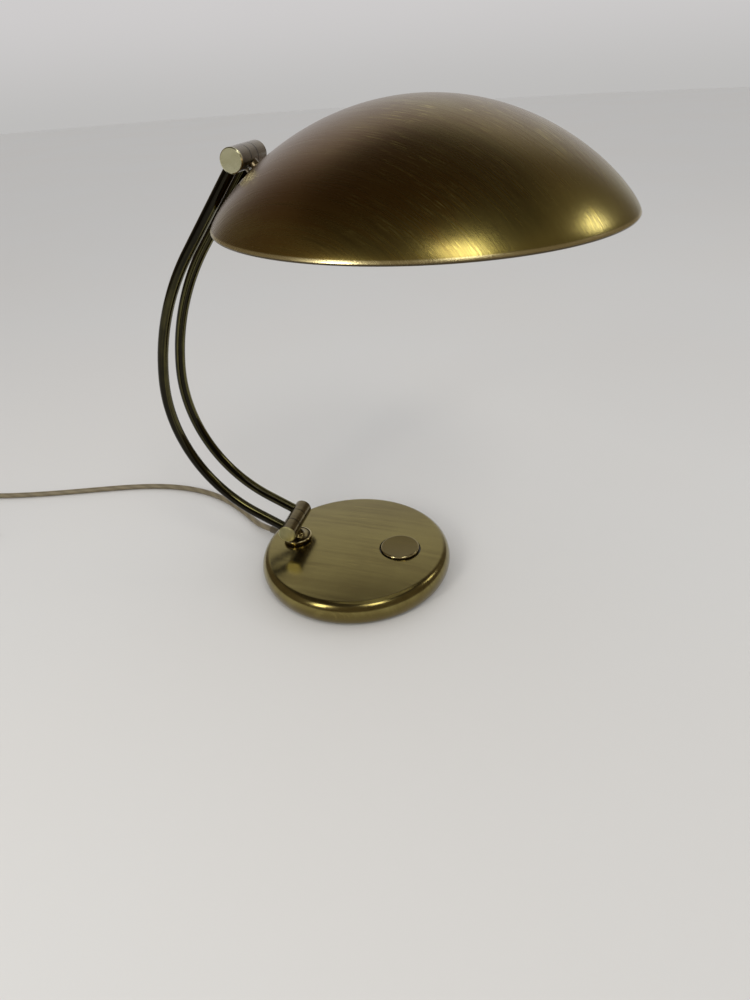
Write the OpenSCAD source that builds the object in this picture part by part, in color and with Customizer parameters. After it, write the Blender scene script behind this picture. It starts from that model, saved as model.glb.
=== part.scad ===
// Dome shade desk lamp: a spun brass base with a push button, two curved tube
// arms between barrel hinges, and a wide shallow dome shade.
//
// Frame: millimetres, +Z up, origin at the middle of the base on the surface it
// stands on. The shade reaches towards +X, and both hinge axes run along Y.

/* [Base] */
// Greatest diameter of the base, at its belly
base_d = 201.6; // [185:0.2:245]
// Diameter of the shell's lower edge
foot_d = 187.6; // [172:0.2:200]
// Height of the belly above the standing plane
belly_z = 13.4; // [10:0.1:18]
// Diameter of the crowned top
top_d = 182; // [172:0.5:220]
// Height of the crowned top's outer edge
top_edge_z = 26.6; // [25:0.1:34]
// Rise of the crowned top from its edge to its middle
crown = 3.6; // [1:0.1:6]
// Thickness of the spun brass sheet
sheet = 1.2; // [0.8:0.1:2]
// Height of the shell's lower edge above the standing plane
foot_gap = 1; // [0.5:0.1:2]

/* [Ballast and bottom] */
// Diameter of the cast iron ballast
ballast_d = 178; // [150:1:182]
// Height of the ballast's underside
ballast_z = 10; // [9:0.5:13]
// Thickness of the bottom cover
cover_t = 1.5; // [1:0.1:3]
// Thickness of the felt pad the lamp stands on
pad_t = 2; // [1.5:0.1:3]
// Distance of the cover screws from the middle
cover_screw_r = 70; // [62:1:74]
// Thread diameter of the cover screws
cover_screw_d = 4; // [3:0.5:5]

/* [Push button] */
// Distance of the button's axis from the middle of the base
button_x = 49; // [42:0.5:50]
// Diameter of the button
button_d = 40.4; // [34:0.2:50]
// Height of the button's rim over the crown beneath its middle
button_stand = 2.6; // [2:0.1:4]
// Travel of the button
button_travel = 2; // [1:0.1:2.4]
// Clear width of the dark ring round the button
button_gap = 1.6; // [0.5:0.1:2]
// Depth of the dish in the button's face
button_dish = 0.7; // [0.2:0.1:1.2]
// Radial running clearance of the button in its cup
button_fit = 0.06; // [0.02:0.01:0.1]

/* [Lower hinge] */
// Distance of the lower hinge axis from the middle of the base
lower_x = 65.8; // [60:0.1:70]
// Height of the lower hinge axis
lower_z = 51.3; // [46:0.1:60]
// Diameter of the lower barrel
lower_d = 18.3; // [15:0.1:22]
// Length of the lower barrel over its caps
lower_len = 54; // [53:0.5:64]
// Length of the lower barrel's middle segment
lower_mid = 17.6; // [12:0.1:18]
// Diameter of the rosette under the stem
rosette_d = 31; // [26:0.5:38]
// Height of the rosette's rim over the crown beneath its middle
rosette_h = 5; // [3:0.1:8]
// Diameter of the threaded stem
stem_d = 10; // [8:0.5:12]

/* [Hinge fits] */
// Diameter of the pivot pins
pivot_d = 6; // [5:0.1:6.4]
// Radial running clearance of a pivot pin
pivot_fit = 0.04; // [0.02:0.01:0.1]
// Width of the groove between two barrel segments, which holds a fibre washer
barrel_groove = 0.5; // [0.3:0.1:1]
// Thickness of the barrel caps
barrel_cap_t = 1.8; // [1.2:0.1:3]
// Bevel on the ends of the barrels
barrel_bevel = 0.8; // [0.3:0.1:1.2]
// Distance from a hinge axis to the end of each arm tube
socket_r = 4.3; // [4:0.1:6]

/* [Arms] */
// Outside diameter of the arm tubes
arm_d = 10; // [8:0.1:12]
// Wall of the arm tubes
arm_wall = 1; // [0.6:0.1:2]
// Distance between the two tubes' middles
arm_spread = 34.5; // [33:0.5:36]
// Direction in which the tubes leave the lower hinge, from +X towards +Z
arm_start_deg = 152.5; // [140:0.5:165]
// Straight length of the tubes from the lower hinge axis
arm_foot_len = 38; // [20:0.5:60]
// Radius of the lower bend
low_bend_r = 142; // [100:1:180]
// Angle of the lower bend
low_bend_deg = 70.5; // [50:0.5:80]
// Radius of the upper bend
high_bend_r = 247; // [180:1:320]
// Angle of the upper bend
high_bend_deg = 30.5; // [15:0.5:45]
// Straight length of the tubes to the upper hinge axis
arm_top_len = 92; // [40:0.5:140]

/* [Upper hinge] */
// Diameter of the upper barrel
upper_d = 19.2; // [16:0.1:22]
// Length of the upper barrel over its caps
upper_len = 52; // [51:0.5:62]
// Length of the upper barrel's middle segment
upper_mid = 13.6; // [10:0.1:17]

/* [Shade] */
// Diameter of the shade at its rim
shade_d = 330; // [270:1:400]
// Height of the shade from its rim to its top
shade_h = 81.5; // [65:0.5:100]
// Fullness of the dome: 1 is an ellipse, more is a rounder crown
fullness = 1.618; // [1.2:0.01:1.9]
// Thickness of the shade's sheet
shade_wall = 0.8; // [0.7:0.1:2]
// Diameter of the hem rolled inwards at the rim
hem_d = 2.6; // [1.6:0.1:4]
// Place of the neck on the dome: 0 is its top and 90 its rim
neck_at = 55.2; // [48:0.1:58]
// Distance from the upper hinge axis to the dome's outer face
neck_len = 13.8; // [13:0.1:18]
// Diameter of the plate between the neck and the dome
plate_d = 27; // [22:0.5:34]
// Thickness of that plate
plate_t = 1.2; // [0.8:0.1:2.4]

/* [Lampholder and bulb] */
// Outside diameter of the lampholder
holder_d = 28; // [27:0.5:31]
// Length of the lampholder's skirt
holder_len = 28; // [26:0.5:36]
// Radius of the elbow's centreline
elbow_r = 14; // [11:0.5:15]
// Diameter of the bulb's glass
bulb_d = 35; // [30:0.5:36]
// Length of the bulb's glass
bulb_len = 78; // [60:1:84]

/* [Cord] */
// Diameter of the cord
cord_d = 6.5; // [5:0.1:7]
// Length of the tapered strain relief outside the base
relief_len = 20; // [18:0.5:24]
// Height of the cord's exit from the base
cord_exit_z = 7.5; // [7:0.1:9]

/* [Plug] */
// Width of the flat two-pin plug
plug_w = 35.3; // [33:0.1:38]
// Thickness of the plug
plug_t = 13.7; // [12:0.1:15]
// Length of the plug's body
plug_len = 36; // [32:0.5:44]
// Diameter of the plug's pins
plug_pin_d = 4; // [3.8:0.1:4.8]
// Length of the plug's pins
plug_pin_len = 19; // [17:0.5:20]
// Distance between the plug's pins
plug_pin_gap = 18.6; // [17:0.1:20]

/* [Hidden] */
$fn = 96;

brass = [0.42, 0.36, 0.19];
dark_brass = [0.33, 0.26, 0.13];
steel = [0.62, 0.62, 0.60];
iron = [0.28, 0.28, 0.29];
bakelite = [0.10, 0.09, 0.08];
porcelain = [0.90, 0.89, 0.85];
rubber = [0.12, 0.12, 0.12];
felt = [0.16, 0.24, 0.17];
cord_colour = [0.50, 0.44, 0.33];

eps = 0.01;
seat = 0.02;          // clearance of pieces that are fixed to each other
smooth_steps = 18;    // steps of each curved stretch of a revolved outline

// ---- Outline helpers -------------------------------------------------------

// Quarter of an ellipse from the angle a0 to a1, about the point c
function ellipse_points(c, rx, rz, a0, a1, n = smooth_steps) =
    [for (i = [0:n]) let (a = a0 + (a1 - a0) * i / n) c + [rx * cos(a), rz * sin(a)]];

// The outline of an open curve set back by w to the left of its run
function set_back(p, w) =
    [for (i = [0:len(p) - 1])
        let (d = p[min(i + 1, len(p) - 1)] - p[max(i - 1, 0)])
        p[i] + w * [-d[1], d[0]] / norm(d)];

// A cylinder along Y from y0 to y1
module along_y(r, y0, y1) {
    translate([0, y1, 0]) rotate([90, 0, 0]) cylinder(r = r, h = y1 - y0);
}

// A cylinder that leaves the Y axis at the angle deg, from radius r0 to r1
module spoke(r, r0, r1, deg) {
    rotate([0, 90 - deg, 0]) translate([0, 0, r0]) cylinder(r = r, h = r1 - r0);
}

function unit(v) = v / norm(v);

// A tube of flat sides swept along a path that never runs straight up. Its end
// faces are square to the directions first and last, where they are given.
module swept_tube(path, d, sides, first = undef, last = undef) {
    n = len(path);
    points = [for (i = [0:n - 1])
        let (t = i == 0 && !is_undef(first) ? first
                 : i == n - 1 && !is_undef(last) ? last
                 : unit(path[min(i + 1, n - 1)] - path[max(i - 1, 0)]),
             side = unit(cross(t, [0, 0, 1])),
             up = cross(side, t))
        for (k = [0:sides - 1])
            let (a = 360 * (k + 0.5) / sides)
            path[i] + d / 2 * (cos(a) * side + sin(a) * up)];
    walls = [for (i = [0:n - 2], k = [0:sides - 1])
        let (a = i * sides + k, b = i * sides + (k + 1) % sides)
        each [[a, a + sides, b], [b, a + sides, b + sides]]];
    ends = [for (k = [1:sides - 2])
        each [[0, k, k + 1], [(n - 1) * sides, (n - 1) * sides + k + 1, (n - 1) * sides + k]]];
    polyhedron(points, concat(walls, ends));
}

// ---- Base ------------------------------------------------------------------

crown_r = (pow(top_d / 2, 2) + crown * crown) / (2 * crown);
// Height of the crowned top at the distance r from the middle
function crown_z(r) = top_edge_z + crown - crown_r + sqrt(crown_r * crown_r - r * r);
// Angle that the crown's arc spans from its middle to its edge
crown_deg = asin(top_d / 2 / crown_r);

base_outline = concat(
    [for (i = [0:8])
        let (a = crown_deg * i / 8)
        [crown_r * sin(a), top_edge_z + crown - crown_r * (1 - cos(a))]],
    ellipse_points([top_d / 2, belly_z], (base_d - top_d) / 2, top_edge_z - belly_z, 84, 0),
    [for (i = [1:smooth_steps / 2])
        let (a = 180 * i / smooth_steps)
        [foot_d / 2 + (base_d - foot_d) / 2 * cos(a),
         foot_gap + (belly_z - foot_gap) * (1 - sin(a))]]
);

module base_solid(inset = 0) {
    inner = set_back(base_outline, -inset);
    rotate_extrude($fn = 180)
        polygon(concat([[0, foot_gap - (inset > 0 ? 1 : 0)],
                        [0, inner[0][1]]],
                       [for (i = [1:len(inner) - 1]) inner[i]],
                       [[inner[len(inner) - 1][0], foot_gap - (inset > 0 ? 1 : 0)]]));
}

gland_deg = 161;
gland_d = 10;
gland_flange_d = 11.6;

// Places children at the cord's exit, with +X pointing out of the base
module at_exit() {
    rotate([0, 0, gland_deg]) translate([0, 0, cord_exit_z]) children();
}

module base_shell() {
    color(brass) difference() {
        base_solid();
        base_solid(sheet);
        translate([button_x, 0, belly_z])
            cylinder(d = button_d + 2 * button_gap, h = top_edge_z);
        translate([-lower_x, 0, belly_z]) cylinder(d = stem_d + 2 * seat, h = top_edge_z);
        at_exit() rotate([0, 90, 0]) cylinder(d = gland_d + 2 * seat, h = base_d);
    }
}

// ---- Ballast, cover and foot -----------------------------------------------

boss_d = 16;
cover_z = pad_t;
cover_d = foot_d - 2 * sheet - 1;
cover_head_d = 1.9 * cover_screw_d;
screw_angles = [90, 210, 330];
cup_d = button_d + 2 * button_fit + 5;
cup_flange_d = cup_d + 10;
cup_flange_t = 2;
cup_screw_d = 3;
cup_screw_r = (cup_d + cup_flange_d) / 4;
stem_nut_af = 17;
stem_nut_t = 4;
stem_recess_d = 26;

module ballast() {
    color(iron) difference() {
        union() {
            intersection() {
                base_solid(sheet + 0.2);
                translate([0, 0, ballast_z]) cylinder(d = ballast_d, h = top_edge_z);
            }
            for (a = screw_angles)
                rotate([0, 0, a]) translate([cover_screw_r, 0, cover_z + cover_t])
                    cylinder(d = boss_d, h = ballast_z - cover_z - cover_t + eps);
        }
        for (a = screw_angles)
            rotate([0, 0, a]) translate([cover_screw_r, 0, 0])
                cylinder(d = cover_screw_d + 2 * seat, h = ballast_z + 6);
        translate([button_x, 0, 0]) cylinder(d = cup_d + 2 * seat, h = 2 * top_edge_z);
        translate([button_x, 0, 0]) cylinder(d = cup_flange_d + 2 * seat, h = ballast_z);
        translate([button_x, 0, 0]) for (a = [90, 270])
            rotate([0, 0, a]) translate([cup_screw_r, 0, 0])
                cylinder(d = cup_screw_d + 2 * seat, h = ballast_z + 5);
        translate([-lower_x, 0, 0]) cylinder(d = stem_d + 2 * seat, h = 2 * top_edge_z);
        translate([-lower_x, 0, 0]) cylinder(d = stem_recess_d, h = ballast_z + 3);
    }
}

module bottom_cover() {
    color(steel) difference() {
        translate([0, 0, cover_z]) cylinder(d = cover_d, h = cover_t);
        for (a = screw_angles)
            rotate([0, 0, a]) translate([cover_screw_r, 0, 0])
                cylinder(d = cover_screw_d + 0.4, h = 2 * cover_z + cover_t);
    }
}

cover_head_t = 1.4;

module cover_screws() {
    color(steel) for (a = screw_angles)
        rotate([0, 0, a]) translate([cover_screw_r, 0, 0]) difference() {
            union() {
                translate([0, 0, cover_z - cover_head_t])
                    cylinder(d1 = cover_head_d - 1.6, d2 = cover_head_d, h = cover_head_t);
                translate([0, 0, cover_z - eps]) cylinder(d = cover_screw_d, h = ballast_z + 3);
            }
            translate([-cover_screw_d, -0.5, cover_z - cover_head_t - eps])
                cube([2 * cover_screw_d, 1, 0.7]);
        }
}

module foot_pad() {
    color(felt) difference() {
        cylinder(d = cover_d, h = pad_t);
        for (a = screw_angles)
            rotate([0, 0, a]) translate([cover_screw_r, 0, -1])
                cylinder(d = cover_head_d + 1.4, h = pad_t + 2);
    }
}

// ---- Stem and rosette ------------------------------------------------------

rosette_rim_z = crown_z(lower_x) + rosette_h;
rosette_neck_d = stem_d + 4.4;
rosette_neck_h = 3.4;
rosette_round = 1.2;
rosette_rim_t = 2;
rosette_undercut = 3.6;
stem_top_z = lower_z - socket_r;
stem_bore_d = stem_d - 4;

// The rosette's rim overhangs a hollow foot, and its top draws in to the stem
module rosette() {
    cove_z = crown_z(lower_x) + 0.5;
    color(brass) difference() {
        translate([-lower_x, 0, 0]) rotate_extrude() polygon(concat(
            [[stem_d / 2 + seat, belly_z], [rosette_d / 2 - 0.4 - rosette_undercut, belly_z]],
            ellipse_points([rosette_d / 2 - 0.4, cove_z], rosette_undercut,
                           rosette_rim_z - rosette_rim_t - cove_z, 180, 90, 8),
            [[rosette_d / 2, rosette_rim_z - rosette_rim_t + 0.4]],
            ellipse_points([rosette_d / 2 - rosette_round, rosette_rim_z - rosette_round],
                           rosette_round, rosette_round, 0, 90, 6),
            ellipse_points([rosette_d / 2 - rosette_round, rosette_rim_z + 2.6],
                           rosette_d / 2 - rosette_round - rosette_neck_d / 2, 3.2,
                           -80, -180, 10),
            [[rosette_neck_d / 2, rosette_rim_z + rosette_neck_h - 0.5],
             [rosette_neck_d / 2 - 0.5, rosette_rim_z + rosette_neck_h],
             [stem_d / 2 + seat, rosette_rim_z + rosette_neck_h]]));
        base_solid();
    }
}

module stem() {
    color(brass) translate([-lower_x, 0, 0]) difference() {
        translate([0, 0, ballast_z - 1.5]) cylinder(d = stem_d, h = stem_top_z - ballast_z + 1.5);
        translate([0, 0, 0]) cylinder(d = stem_bore_d, h = stem_top_z + 1);
    }
}

module stem_nut() {
    color(steel) translate([-lower_x, 0, ballast_z + 3 - stem_nut_t]) difference() {
        cylinder(d = stem_nut_af / cos(30), h = stem_nut_t, $fn = 6);
        translate([0, 0, -1]) cylinder(d = stem_d + 2 * seat, h = stem_nut_t + 2);
    }
}

// ---- Push button and switch ------------------------------------------------

button_top = crown_z(button_x) + button_stand;
button_plate_t = 2.6;
button_skirt_h = 11.5;
button_round = 1.5;
button_under = button_top - button_plate_t - button_dish;
cup_floor_z = ballast_z;
switch_size = [24, 14, 9.5];
switch_neck_d = 9;
plunger_d = 5;
switch_top_z = cup_floor_z + switch_size[2];
switch_neck_z = switch_top_z + 3;
button_stem_z = switch_neck_z + button_travel + 0.6;

module at_button() { translate([button_x, 0, 0]) children(); }

module push_button() {
    r = button_d / 2;
    dish_r = (pow(r - button_round, 2) + pow(button_dish, 2)) / (2 * button_dish);
    dish_deg = asin((r - button_round) / dish_r);
    color(brass) at_button() rotate_extrude() polygon(concat(
        [[0, button_stem_z], [4, button_stem_z], [4, button_under], [r - 2, button_under],
         [r - 2, button_top - button_skirt_h], [r, button_top - button_skirt_h]],
        ellipse_points([r - button_round, button_top - button_round],
                       button_round, button_round, 0, 90, 8),
        [for (i = [1:8])
            let (a = dish_deg * (1 - i / 8))
            [dish_r * sin(a), button_top - button_dish + dish_r * (1 - cos(a))]]));
}

module button_cup() {
    inner_d = button_d + 2 * button_fit;
    cup_top = crown_z(button_x + cup_d / 2) - sheet - 0.4;
    color(bakelite) at_button() difference() {
        union() {
            translate([0, 0, cup_floor_z - cup_flange_t])
                cylinder(d = cup_flange_d, h = cup_flange_t);
            translate([0, 0, cup_floor_z - eps]) cylinder(d = cup_d, h = cup_top - cup_floor_z);
        }
        translate([0, 0, cup_floor_z]) cylinder(d = inner_d, h = top_edge_z);
        for (a = [90, 270])
            rotate([0, 0, a]) translate([cup_screw_r, 0, 0])
                cylinder(d = cup_screw_d + 0.4, h = 2 * cup_floor_z);
    }
}

module cup_screws() {
    head_z = cup_floor_z - cup_flange_t;
    color(steel) at_button() for (a = [90, 270])
        rotate([0, 0, a]) translate([cup_screw_r, 0, 0]) difference() {
            union() {
                translate([0, 0, head_z - 1.6]) cylinder(d = 2 * cup_screw_d - 0.6, h = 1.6);
                translate([0, 0, head_z - eps]) cylinder(d = cup_screw_d, h = cup_flange_t + 4);
            }
            translate([-cup_screw_d, -0.4, head_z - 1.6 - eps]) cube([2 * cup_screw_d, 0.8, 0.8]);
        }
}

module switch_body() {
    color(bakelite) at_button() difference() {
        union() {
            translate([-switch_size[0] / 2, -switch_size[1] / 2, cup_floor_z]) cube(switch_size);
            translate([0, 0, switch_top_z - eps]) cylinder(d = switch_neck_d, h = 3 + eps);
        }
        translate([0, 0, switch_top_z - 4])
            cylinder(d = plunger_d + 2 * button_fit, h = 8);
    }
}

module switch_plunger() {
    color(porcelain) at_button()
        translate([0, 0, switch_top_z - 4 + button_travel + 0.3])
            cylinder(d = plunger_d, h = button_stem_z - switch_top_z + 3.7 - button_travel);
}

spring_wire = 1.2;
spring_mean_d = 15;
spring_turns = 4;
spring_free = button_under - switch_top_z;

module button_spring() {
    lift = spring_free - spring_wire - 0.1;
    path = [for (i = [0:8 * spring_turns])
        let (a = 45 * i)
        [spring_mean_d / 2 * cos(a), spring_mean_d / 2 * sin(a),
         switch_top_z + spring_wire / 2 + 0.05 + lift * i / (8 * spring_turns)]];
    color(steel) at_button() swept_tube(path, spring_wire, 6);
}

// ---- Barrel hinges ---------------------------------------------------------

// Where the tubes of the arms run: [point, heading] after each stretch
function bend_end(p, deg, r, turn) =
    [p[0] + r * (sin(deg) - sin(deg - turn)), p[1] - r * (cos(deg) - cos(deg - turn))];
function ahead(p, deg, l) = p + l * [cos(deg), sin(deg)];

lower_axis = [-lower_x, lower_z];
bend_1 = ahead(lower_axis, arm_start_deg, arm_foot_len);
mid_deg = arm_start_deg - low_bend_deg;
bend_2 = bend_end(bend_1, arm_start_deg, low_bend_r, low_bend_deg);
end_deg = mid_deg - high_bend_deg;
bend_3 = bend_end(bend_2, mid_deg, high_bend_r, high_bend_deg);
upper_axis = ahead(bend_3, end_deg, arm_top_len);
echo(upper_axis = upper_axis, arrives_at = end_deg);

module at_lower() { translate([lower_axis[0], 0, lower_axis[1]]) children(); }
module at_upper() { translate([upper_axis[0], 0, upper_axis[1]]) children(); }
module front() { mirror([0, 1, 0]) children(); }

pivot_head_d = 9.6;
pivot_head_gap = 0.1;
// The pin's head is as thick as fits between the cap and the end of the arm tube
pivot_head_t = min(1.3, min(lower_len, upper_len) / 2 - barrel_cap_t - 2 * pivot_head_gap
                        - arm_spread / 2 - arm_d / 2);

// An outer barrel segment on the +Y side: the arm enters it at the angle deg
module outer_segment(d, mid, length, deg, capped) {
    y0 = mid / 2 + barrel_groove;
    y1 = length / 2 - (capped ? barrel_cap_t : 0);
    difference() {
        union() {
            along_y(d / 2, y0, y1 - (capped ? 0 : barrel_bevel));
            if (!capped)
                translate([0, y1 - barrel_bevel - eps, 0]) rotate([-90, 0, 0])
                    cylinder(r1 = d / 2, r2 = d / 2 - barrel_bevel, h = barrel_bevel + eps);
        }
        if (capped) {
            along_y(pivot_d / 2 + seat, y0 - 1, length);
            along_y(pivot_head_d / 2 + 0.3, y1 - pivot_head_t - pivot_head_gap, y1 + 1);
        } else {
            along_y(pivot_d / 2 + seat, y0 - 1, pivot_reach(length));
        }
        translate([0, arm_spread / 2, 0]) spoke(arm_d / 2 + seat, socket_r, d, deg);
    }
}

// How far a pivot pin reaches into the rear segment
function pivot_reach(length) = length / 2 - 4;

module barrel_cap(d, length) {
    translate([0, length / 2 - barrel_cap_t, 0]) rotate([-90, 0, 0]) {
        cylinder(d = d, h = barrel_cap_t - barrel_bevel);
        translate([0, 0, barrel_cap_t - barrel_bevel - eps])
            cylinder(r1 = d / 2, r2 = d / 2 - barrel_bevel, h = barrel_bevel + eps);
    }
}

module pivot_pin(length) {
    head_y = -(length / 2 - barrel_cap_t);
    difference() {
        union() {
            along_y(pivot_d / 2, head_y + pivot_head_gap, pivot_reach(length) - 0.2);
            along_y(pivot_head_d / 2, head_y + pivot_head_gap,
                    head_y + pivot_head_gap + pivot_head_t);
        }
        translate([-pivot_head_d, head_y, -0.5]) cube([2 * pivot_head_d, 0.7, 1]);
    }
}

module barrel_washers(d, mid) {
    for (s = [-1, 1]) difference() {
        along_y(d / 2 - 0.6, min(s * (mid / 2 + 0.05), s * (mid / 2 + barrel_groove)),
                max(s * (mid / 2 + 0.05), s * (mid / 2 + barrel_groove)));
        along_y(pivot_d / 2 + seat, -mid, mid);
    }
}

module lower_knuckle_middle() {
    color(brass) at_lower() difference() {
        along_y(lower_d / 2, -lower_mid / 2, lower_mid / 2);
        along_y(pivot_d / 2 + pivot_fit, -lower_mid, lower_mid);
        spoke(stem_d / 2 + seat, socket_r, lower_d, 270);
    }
}

module lower_knuckle_front() {
    color(brass) at_lower() front()
        outer_segment(lower_d, lower_mid, lower_len, arm_start_deg, true);
}

module lower_knuckle_rear() {
    color(brass) at_lower()
        outer_segment(lower_d, lower_mid, lower_len, arm_start_deg, false);
}

module lower_cap() { color(brass) at_lower() front() barrel_cap(lower_d, lower_len); }
module lower_pivot() { color(steel) at_lower() pivot_pin(lower_len); }
module lower_washers() { color(bakelite) at_lower() barrel_washers(lower_d, lower_mid); }

module upper_knuckle_front() {
    color(brass) at_upper() front()
        outer_segment(upper_d, upper_mid, upper_len, end_deg - 180, true);
}

module upper_knuckle_rear() {
    color(brass) at_upper()
        outer_segment(upper_d, upper_mid, upper_len, end_deg - 180, false);
}

module upper_cap() { color(brass) at_upper() front() barrel_cap(upper_d, upper_len); }
module upper_pivot() { color(steel) at_upper() pivot_pin(upper_len); }
module upper_washers() { color(bakelite) at_upper() barrel_washers(upper_d, upper_mid); }

// ---- Arms ------------------------------------------------------------------

// A tube is made of straight and bent stretches. Every second one is an inner
// stretch: its wall is a hair thinner on both sides, and it laps into the walls of
// its neighbours, so that all of them join into one solid.
seam = 0.05;
seam_lap = 1;

module ring_section(d, bore, inner = false) {
    difference() {
        circle(d = d - (inner ? 2 * seam : 0));
        if (bore > 0) circle(d = bore + (inner ? 2 * seam : 0));
    }
}

// A straight stretch of tube from the point p, heading deg in the XZ plane
module straight_tube(p, deg, l, d, bore, inner = false) {
    translate([p[0], 0, p[1]]) rotate([0, 90 - deg, 0])
        linear_extrude(l) ring_section(d, bore, inner);
}

// A bend that turns clockwise from the heading deg at the point p
module bent_tube(p, deg, r, turn, d, bore, inner = false) {
    centre = p + r * [sin(deg), -cos(deg)];
    lap = inner ? seam_lap / r * 180 / PI : 0;
    translate([centre[0], 0, centre[1]]) rotate([90, 0, 0]) rotate([0, 0, deg + 90 - turn - lap])
        rotate_extrude(angle = turn + 2 * lap) translate([r, 0]) ring_section(d, bore, inner);
}

module arm_path_tube(d, bore, start = socket_r) {
    straight_tube(ahead(lower_axis, arm_start_deg, start), arm_start_deg,
                  arm_foot_len - start + seam_lap, d, bore, true);
    bent_tube(bend_1, arm_start_deg, low_bend_r, low_bend_deg, d, bore);
    bent_tube(bend_2, mid_deg, high_bend_r, high_bend_deg, d, bore, true);
    straight_tube(bend_3, end_deg, arm_top_len - start, d, bore);
}

module arm_front() {
    color(dark_brass) translate([0, -arm_spread / 2, 0]) arm_path_tube(arm_d, arm_d - 2 * arm_wall);
}

module arm_rear() {
    color(dark_brass) translate([0, arm_spread / 2, 0]) arm_path_tube(arm_d, arm_d - 2 * arm_wall);
}

// The lead that climbs to the lampholder inside the rear tube
lead_slack = 1;

module inner_lead() {
    color(bakelite) translate([0, arm_spread / 2, 0])
        arm_path_tube(arm_d - 2 * arm_wall - 2 * lead_slack, 0, socket_r + 1);
}

// ---- Shade -----------------------------------------------------------------

neck_d = upper_mid - 0.6;
// The neck's tube leaves a wall of 1.5 mm in the neck, which holds the set screw
neck_tube_d = neck_d - 3;
neck_tube_bore = neck_tube_d - 3;

function dome_point(t) = [shade_d / 2 * sin(t), shade_h * pow(cos(t), fullness)];
// Outward normal of the dome's outline at the place t
function dome_normal(t) =
    let (dr = shade_d / 2 * cos(t), dz = -shade_h * fullness * pow(cos(t), fullness - 1) * sin(t))
    [-dz, dr] / norm([dr, dz]);

neck_p = dome_point(neck_at);
neck_n = dome_normal(neck_at);
neck_tilt = atan2(neck_n[0], neck_n[1]);
shade_centre = upper_axis + [neck_p[0] + neck_len * neck_n[0], -neck_p[1] - neck_len * neck_n[1]];
echo(shade_centre = shade_centre, neck_tilt = neck_tilt);

// The hinge axis with +Z pointing out of the dome along the neck
module at_neck() { at_upper() rotate([0, -neck_tilt, 0]) children(); }

dome_steps = 30;
dome_last = 88;

module shade_shell() {
    places = [for (i = [0:dome_steps]) dome_last * sin(90 * i / dome_steps)];
    outer = [for (t = places) dome_point(t)];
    inner = [for (t = places) dome_point(t) - shade_wall * dome_normal(t)];
    hem = hem_d / 2;
    color(dark_brass) difference() {
        translate([shade_centre[0], 0, shade_centre[1]]) rotate_extrude($fn = 180)
            polygon(concat(
                [[0, shade_h - shade_wall]],
                outer,
                ellipse_points([shade_d / 2 - hem, 0], hem, hem, 0, -255, 17),
                [for (i = [dome_steps:-1:1]) if (inner[i][1] > 1.2 * hem) inner[i]]));
        at_neck() translate([0, 0, -2 * neck_len])
            cylinder(d = neck_tube_d + 2 * seat, h = 2 * neck_len);
    }
}

set_screw_d = 2.4;

// Places children on the set screw's axis, with +Z pointing out of the neck
module along_set_screw() {
    at_neck() translate([0, 0, -(neck_len - plate_t + upper_d / 2) / 2]) rotate([90, 0, 0])
        translate([0, 0, neck_tube_d / 2 + 0.1]) children();
}

module upper_knuckle_middle() {
    color(brass) difference() {
        union() {
            at_upper() along_y(upper_d / 2, -upper_mid / 2, upper_mid / 2);
            at_neck() translate([0, 0, -neck_len + plate_t])
                cylinder(d = neck_d, h = neck_len - plate_t - socket_r);
        }
        at_upper() along_y(pivot_d / 2 + pivot_fit, -upper_mid, upper_mid);
        at_neck() translate([0, 0, -neck_len])
            cylinder(d = neck_tube_d + 2 * seat, h = neck_len - socket_r);
        along_set_screw() cylinder(d = set_screw_d + 2 * seat, h = neck_d);
    }
}

module set_screw() {
    color(steel) along_set_screw() difference() {
        cylinder(d = set_screw_d, h = neck_d / 2 - neck_tube_d / 2 - 0.2);
        translate([-set_screw_d, -0.2, neck_d / 2 - neck_tube_d / 2 - 0.8])
            cube([2 * set_screw_d, 0.4, 1]);
    }
}

module neck_plate() {
    color(brass) at_neck() translate([0, 0, -neck_len]) difference() {
        union() {
            cylinder(d = plate_d, h = plate_t - 0.3);
            translate([0, 0, plate_t - 0.3 - eps])
                cylinder(d1 = plate_d, d2 = plate_d - 0.6, h = 0.3 + eps);
        }
        translate([0, 0, -1]) cylinder(d = neck_tube_d + 2 * seat, h = plate_t + 2);
    }
}

// Radius of the dome's outline at the place t
function dome_radius(t) =
    let (a = dome_point(t - 1), b = dome_point(t), c = dome_point(t + 1))
    norm(b - a) * norm(c - b) * norm(c - a) / 2 / abs(cross(b - a, c - a));

// Distances down the neck from the hinge axis, inside the dome: the flat washer
// stands off by what the dome bends away under its edge
washer_d = neck_tube_d + 8;
washer_sag = pow(washer_d / 2, 2) / 2 / min(dome_radius(neck_at), neck_p[0] / neck_n[0]);
washer_top = neck_len + shade_wall + washer_sag + 0.05;
washer_t = 1.2;
nut_top = washer_top + washer_t;
nut_t = 3;
nut_af = neck_tube_d + 4;
elbow_top = nut_top + nut_t;
elbow_sleeve = 5;

module neck_tube() {
    color(brass) at_neck() translate([0, 0, -(elbow_top + elbow_sleeve - 1)]) difference() {
        cylinder(d = neck_tube_d, h = elbow_top + elbow_sleeve - 1 - socket_r);
        translate([0, 0, -1]) cylinder(d = neck_tube_bore, h = elbow_top + elbow_sleeve);
    }
}

module inner_washer() {
    color(steel) at_neck() translate([0, 0, -nut_top]) difference() {
        cylinder(d = washer_d, h = washer_t);
        translate([0, 0, -1]) cylinder(d = neck_tube_d + 2 * seat, h = washer_t + 2);
    }
}

module lock_nut() {
    color(brass) at_neck() translate([0, 0, -elbow_top]) difference() {
        cylinder(d = nut_af / cos(30), h = nut_t, $fn = 6);
        translate([0, 0, -1]) cylinder(d = neck_tube_d + 2 * seat, h = nut_t + 2);
    }
}

// ---- Lampholder and bulb ---------------------------------------------------

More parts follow.
